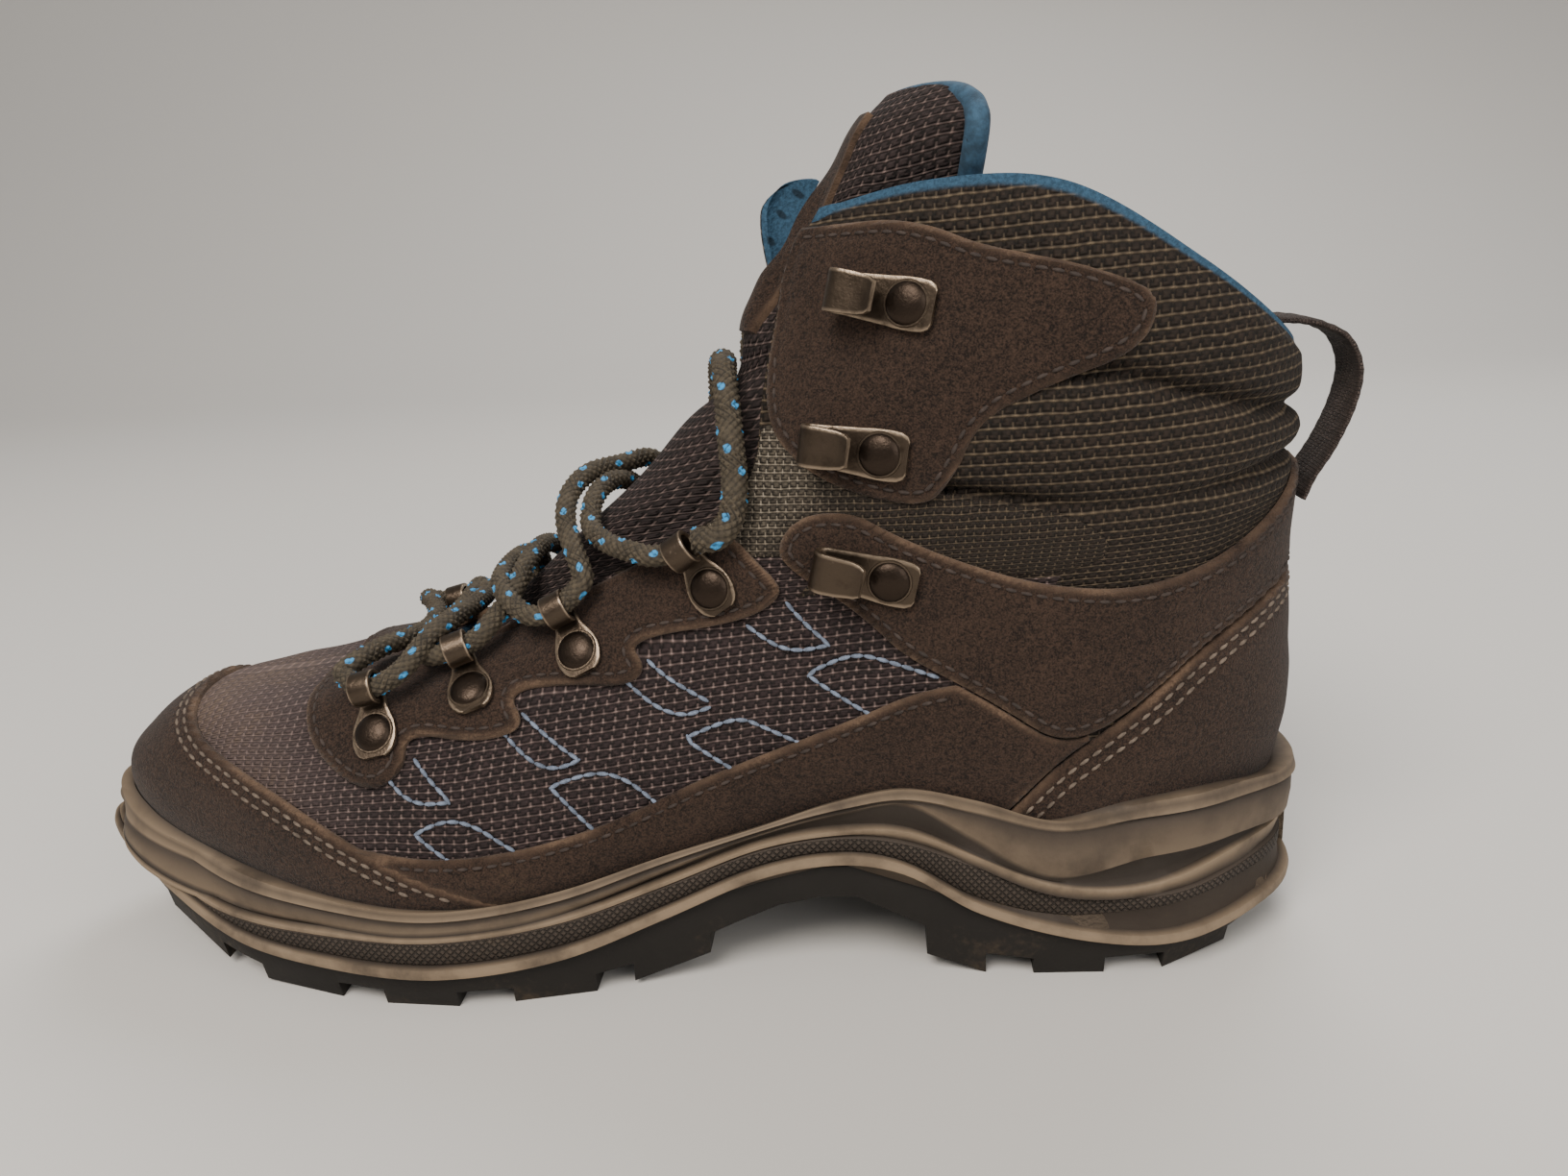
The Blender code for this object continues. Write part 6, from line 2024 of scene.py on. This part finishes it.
@dataclass
class PullLoop:
    """The folded webbing loop at the back of the collar."""

    half_width: float = 6.8
    thick: float = 1.5
    folds: tuple[tuple[float, float], ...] = (
        (267.0, 131.4), (272.0, 131.0), (276.5, 129.8), (281.0, 127.0), (283.6, 121.0), (282.7, 113.5),
        (279.6, 105.5), (276.2, 99.5), (274.4, 94.8))

    def build(self) -> None:
        """Make the loop."""
        route = smooth_route([(station, 0.0, height) for station, height in self.folds], 0.8)
        run = unit(np.gradient(route, axis=0))
        lift = np.column_stack((-run[:, 2], np.zeros(len(run)), run[:, 0])) * self.thick / 2
        share = np.linspace(0, 2 * math.pi, 33)
        bm = flat_grid(share, np.arange(len(route), dtype=float))
        uv = bm.loops.layers.uv.new("flat")
        for face in bm.faces:
            for loop in face.loops:
                loop[uv].uv = (self.half_width * math.cos(loop.vert.co.x) / 10, loop.vert.co.y * 0.08)
        for vert in bm.verts:
            angle, row = vert.co.x, round(vert.co.y)
            wide, high = squared(math.cos(angle), 0.35), squared(math.sin(angle), 0.6)
            ridge = 1 + 0.10 * math.sin(row * 0.8 * 2.4)
            vert.co = route[row] + lift[row] * high * ridge + np.array((0, self.half_width * wide, 0))
        closed(bm, 0.002)
        webbing = Textile("dark_webbing", srgb(30, 25, 24), srgb(82, 70, 64), srgb(112, 98, 90), 0.09, 0.07,
                          mud=0.0)
        dress(finished("webbing_loop", bm), webbing.material(), "webbing", "pull_loop")


# ---------------------------------------------------------------- the lace


Route = tuple[tuple[float, float, float], ...]
BAR: Route = (
    (73.6, -26.8, 68.6), (74.8, -23, 70), (78.2, -15.6, 70.8), (81.8, -8, 70.4), (83, 0, 70),
    (81.8, 8, 70.4), (78.2, 15.6, 70.8), (74.6, 22.6, 69.8), (73.4, 26, 68.4))
OVER: tuple[Route, ...] = (
    ((84.6, -30, 68.5), (88, -28.2, 70.8), (91.2, -23.6, 74.6), (94.2, -15, 76.6), (95.8, -5, 76.4),
     (95.2, 5, 75.6), (92.9, 13.5, 74.6), (91, 20, 72.6), (91.9, 24.4, 71.8)),
    ((102.2, -22.6, 74.8), (104.6, -21.4, 77.2), (108, -16.5, 81.2), (109.4, -8.5, 85.6), (110, 1, 87.4),
     (110.4, 10.5, 86.2), (111.6, 19, 82.4), (114.2, 24.4, 79.8)),
    ((125.4, -22.4, 85.8), (125.2, -20.8, 88.8), (122.8, -16.8, 93), (120.8, -12, 97.4), (120.8, -5.5, 101.6),
     (123.6, 2, 104.2), (128.8, 9.2, 104.4), (134.4, 17.3, 104), (138.6, 24, 97.8), (141.9, 28.6, 93)))
UNDER: tuple[Route, ...] = (
    ((84.2, 29.8, 68.6), (86.6, 28.4, 70.4), (87.6, 22.4, 72.6), (88.6, 14, 72.8), (88.6, 5, 72),
     (88.2, -4, 72), (88, -13, 72.6), (89.4, -20, 71.4), (92, -23.8, 71.4)),
    ((102, 23.6, 74.9), (104.4, 21.8, 77.6), (105.8, 15.5, 82), (105.4, 7, 84.8), (104.8, -1, 85.2),
     (104.8, -9, 84.6), (106.2, -15.6, 83.6), (110, -21, 81.6), (114.2, -23.8, 79.8)),
    ((124, 25.2, 84.6), (127.6, 23, 89.8), (130.4, 16.5, 97.2), (129.8, 8.5, 101), (127.2, 1, 101.8),
     (125.6, -6.5, 99.2), (126.6, -13.5, 95.4), (131.2, -19.5, 93.6), (136.8, -24.2, 93), (142, -26.9, 92.6)))
EYES_MEDIAL: Route = ((79.8, -30.5, 67), (97.7, -23.8, 72.6), (119.7, -24.1, 80.8), (147.4, -27.8, 94))
EYES_LATERAL: Route = ((79.3, 29.8, 66.9), (97.6, 24.7, 72.5), (119.7, 26, 80.8), (147.4, 29.8, 94.1))
END_MEDIAL: Route = (
    (150.6, -28.2, 95.9), (155.2, -28.9, 96.6), (157.8, -28.2, 99.4), (158.8, -26.6, 103.2),
    (158.9, -24.4, 107.6), (158.4, -21.8, 112.4), (157.8, -18.6, 117), (157.2, -14.8, 121),
    (156.4, -10.2, 124.8), (155.8, -4.8, 126.7), (155.1, 0.6, 127.2), (153.8, 5.8, 126.4),
    (152.8, 10.6, 123.2), (152, 14.8, 118.2), (150.6, 18.2, 112.8), (149.6, 20.6, 107))
END_LATERAL: Route = (
    (150.5, 29.9, 95.8), (155, 30.4, 97.2), (157.6, 29.6, 100.4), (159.4, 28.2, 104.8),
    (159.9, 26, 109.8), (159.9, 23.4, 115), (159.5, 20.7, 120.4), (159.2, 19, 125.6),
    (159.5, 19.4, 129.6), (160.4, 21.6, 132.6), (161.8, 25, 133.8), (163.1, 28.6, 132.6),
    (164.1, 31.2, 129.6), (164.5, 32.4, 125.6), (164.6, 32.8, 122.2))


@dataclass
class Lace:
    """One round braided lace: laced through the loops, with two loose ends."""

    radius: float = 2.25
    step: float = 0.42
    sides: int = 32
    strands: int = 8
    core: float = 0.80                # the hollows between strands, as a share of the radius
    strand_rise: float = 0.26
    fleck_spacing: float = 4.6
    repeat: float = 14.0              # length of one full turn of a strand
    loosened: float = 1.2             # how much thicker a loose end is than the pulled run
    fill: float = 0.94                # mean radius of the braid, as a share of the stated one

    def braid(self, angle: Array, length: Array) -> Array:
        """How high the braid stands at a place: 0 between strands, 1 on top of one.

        Args:
            angle: Round the lace.
            length: Along it.
        Returns:
            A share for each place.
        """
        wound = math.pi * length / self.repeat * self.strands
        there, back = angle * self.strands / 2 + wound, angle * self.strands / 2 - wound
        return np.abs(np.sin(there) * np.sin(back)) ** 0.8

    def loose_size(self, angle: Array, length: Array) -> Array:
        """The tube's radius at a place on a loose end, which isn't pulled thin."""
        return self.size(angle, length) * self.loosened

    def size(self, angle: Array, length: Array) -> Array:
        """The tube's radius at a place."""
        return self.radius * (self.core + self.strand_rise * self.braid(angle, length))

    def fleck(self, angle: Array, length: Array) -> Array:
        """Where the coloured yarn shows: a spot on alternate sides, all along.

        Args:
            angle: Round the lace.
            length: Along it.
        Returns:
            A share for each place.
        """
        cell = np.round(length / self.fleck_spacing)
        around = np.abs((angle + cell * math.pi / 3 + math.pi / 2) % math.pi - math.pi / 2) * self.radius
        return np.clip(1.7 - np.hypot((length - cell * self.fleck_spacing) / 0.75, around / 0.6), 0, 1)

    def tube(self, name: str, route: Route, size: Callable) -> tuple[Object, Array]:
        """A braided tube along a route, and the points that it follows."""
        path = smooth_route(route, self.step)
        return tube(name, path, size, self.sides, {"strand": self.braid, "fleck": self.fleck}), path

    def build(self) -> None:
        """Make the laced run and the two loose ends."""
        yarn = Thread("lace_yarn", srgb(84, 74, 58), srgb(58, 148, 204)).material()
        left, right = EYES_LATERAL, EYES_MEDIAL
        run = (right[3:] + tuple(reversed(UNDER[2])) + left[2:3] + tuple(reversed(OVER[1])) + right[1:2]
               + tuple(reversed(UNDER[0])) + left[:1] + tuple(reversed(BAR)) + right[:1] + OVER[0] + left[1:2]
               + UNDER[1] + right[2:3] + OVER[2] + left[3:])
        laced, _ = self.tube("laced_run", run, self.size)
        dress(laced, yarn, "lace", "lace_bar", "lace_cross_1", "lace_cross_2", "lace_cross_3")
        for word, route in (("medial", END_MEDIAL), ("lateral", END_LATERAL)):
            end, path = self.tube(f"loose_lace_{word}", route, self.loose_size)
            dress(end, yarn, "lace", "lace_end_" + word)
            points = [tuple(float(c) for c in point) for point in to_world(path)]
            float(lengths(path)[-1]) * MM


# ---------------------------------------------------------------- the set


@dataclass
class Studio:
    """Camera, floor and soft lights."""

    lens: float = 27.35
    place: tuple[float, float, float] = (188.0, -253.5, 156.0)
    pitch: float = 17.3
    yaw: float = 5.1
    roll: float = 3.1
    sweep: float = 0.9                # where the backdrop begins to rise

    def camera(self) -> None:
        """Set the camera."""
        yaw, pitch, roll = (math.radians(angle) for angle in (self.yaw, self.pitch, self.roll))
        right = Vector((math.cos(yaw), math.sin(yaw), 0))
        ahead = Vector((-math.sin(yaw), math.cos(yaw), 0))
        forward = ahead * math.cos(pitch) - Vector((0, 0, math.sin(pitch)))
        upward = ahead * math.sin(pitch) + Vector((0, 0, math.cos(pitch)))
        across = right * math.cos(roll) - upward * math.sin(roll)
        tall = upward * math.cos(roll) + right * math.sin(roll)
        data = bpy.data.cameras.new("camera")
        data.lens, data.sensor_width, data.clip_start = self.lens, 36.0, 0.01
        camera = linked("camera", data)
        camera.matrix_world = Matrix((across, tall, -forward)).transposed().to_4x4()
        camera.matrix_world.translation = to_world(np.array([self.place]))[0]
        bpy.context.scene.camera = camera

    def light(self, name: str, place: tuple[float, float, float], size: float, power: float,
              colour: Colour) -> None:
        """Add a soft light aimed at the boot.

        Args:
            name: Its name.
            place: Where it stands, in metres.
            size: Its width.
            power: In watts.
            colour: Its light.
        """
        data = bpy.data.lights.new(name, "AREA")
        data.shape, data.size, data.energy, data.color = "DISK", size, power, colour
        light = linked(name, data)
        light.location = place
        light.rotation_euler = (Vector((0, 0, 0.07)) - Vector(place)).to_track_quat("-Z", "Y").to_euler()

    def build(self) -> None:
        """Lay the floor and set the lights."""
        bm = bmesh.new()
        bmesh.ops.create_grid(bm, x_segments=2, y_segments=60, size=3.0)
        for vert in bm.verts:                     # the floor sweeps up into a backdrop
            vert.co.z = max(0.0, vert.co.y - self.sweep) ** 2 / self.sweep
        floor = meshed("floor", bm, 180.0)
        pale = bpy.data.materials.new("pale_floor")
        pale.use_nodes = True
        shader = pale.node_tree.nodes["Principled BSDF"]
        shader.inputs["Base Color"].default_value = (0.62, 0.60, 0.57, 1.0)
        shader.inputs["Roughness"].default_value = 0.9
        floor.data.materials.append(pale)
        self.light("key", (-0.35, -0.9, 1.25), 0.9, 25.0, (1.0, 0.94, 0.87))
        self.light("fill", (0.95, -0.9, 0.7), 1.2, 9.0, (1.0, 0.97, 0.94))
        self.light("back", (0.3, 0.8, 1.1), 0.8, 9.0, (1.0, 1.0, 1.0))
        world = bpy.data.worlds.new("studio")
        world.use_nodes = True
        world.node_tree.nodes["Background"].inputs[0].default_value = (0.86, 0.85, 0.84, 1.0)
        world.node_tree.nodes["Background"].inputs[1].default_value = 0.42
        bpy.context.scene.world = world


def main() -> None:
    """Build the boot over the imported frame."""
    logging.basicConfig(level=logging.INFO, format="%(message)s")
    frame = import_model()
    studio = Studio()
    studio.camera()
    Lace().build()
    Shell().build()
    Overlays().build()
    Tongue().build()
    Midsole().build()
    Outsole(frame["nodes"]["outsole"]).build()
    Hardware().build()
    PullLoop().build()
    footbed = Textile("footbed_felt", srgb(18, 24, 30), srgb(60, 80, 96), srgb(48, 66, 84), 0.1, 0.1, mud=0.0)
    frame["nodes"]["insole"].material_slots[0].material = footbed.material()
    studio.build()


if __name__ == "__main__":
    main()
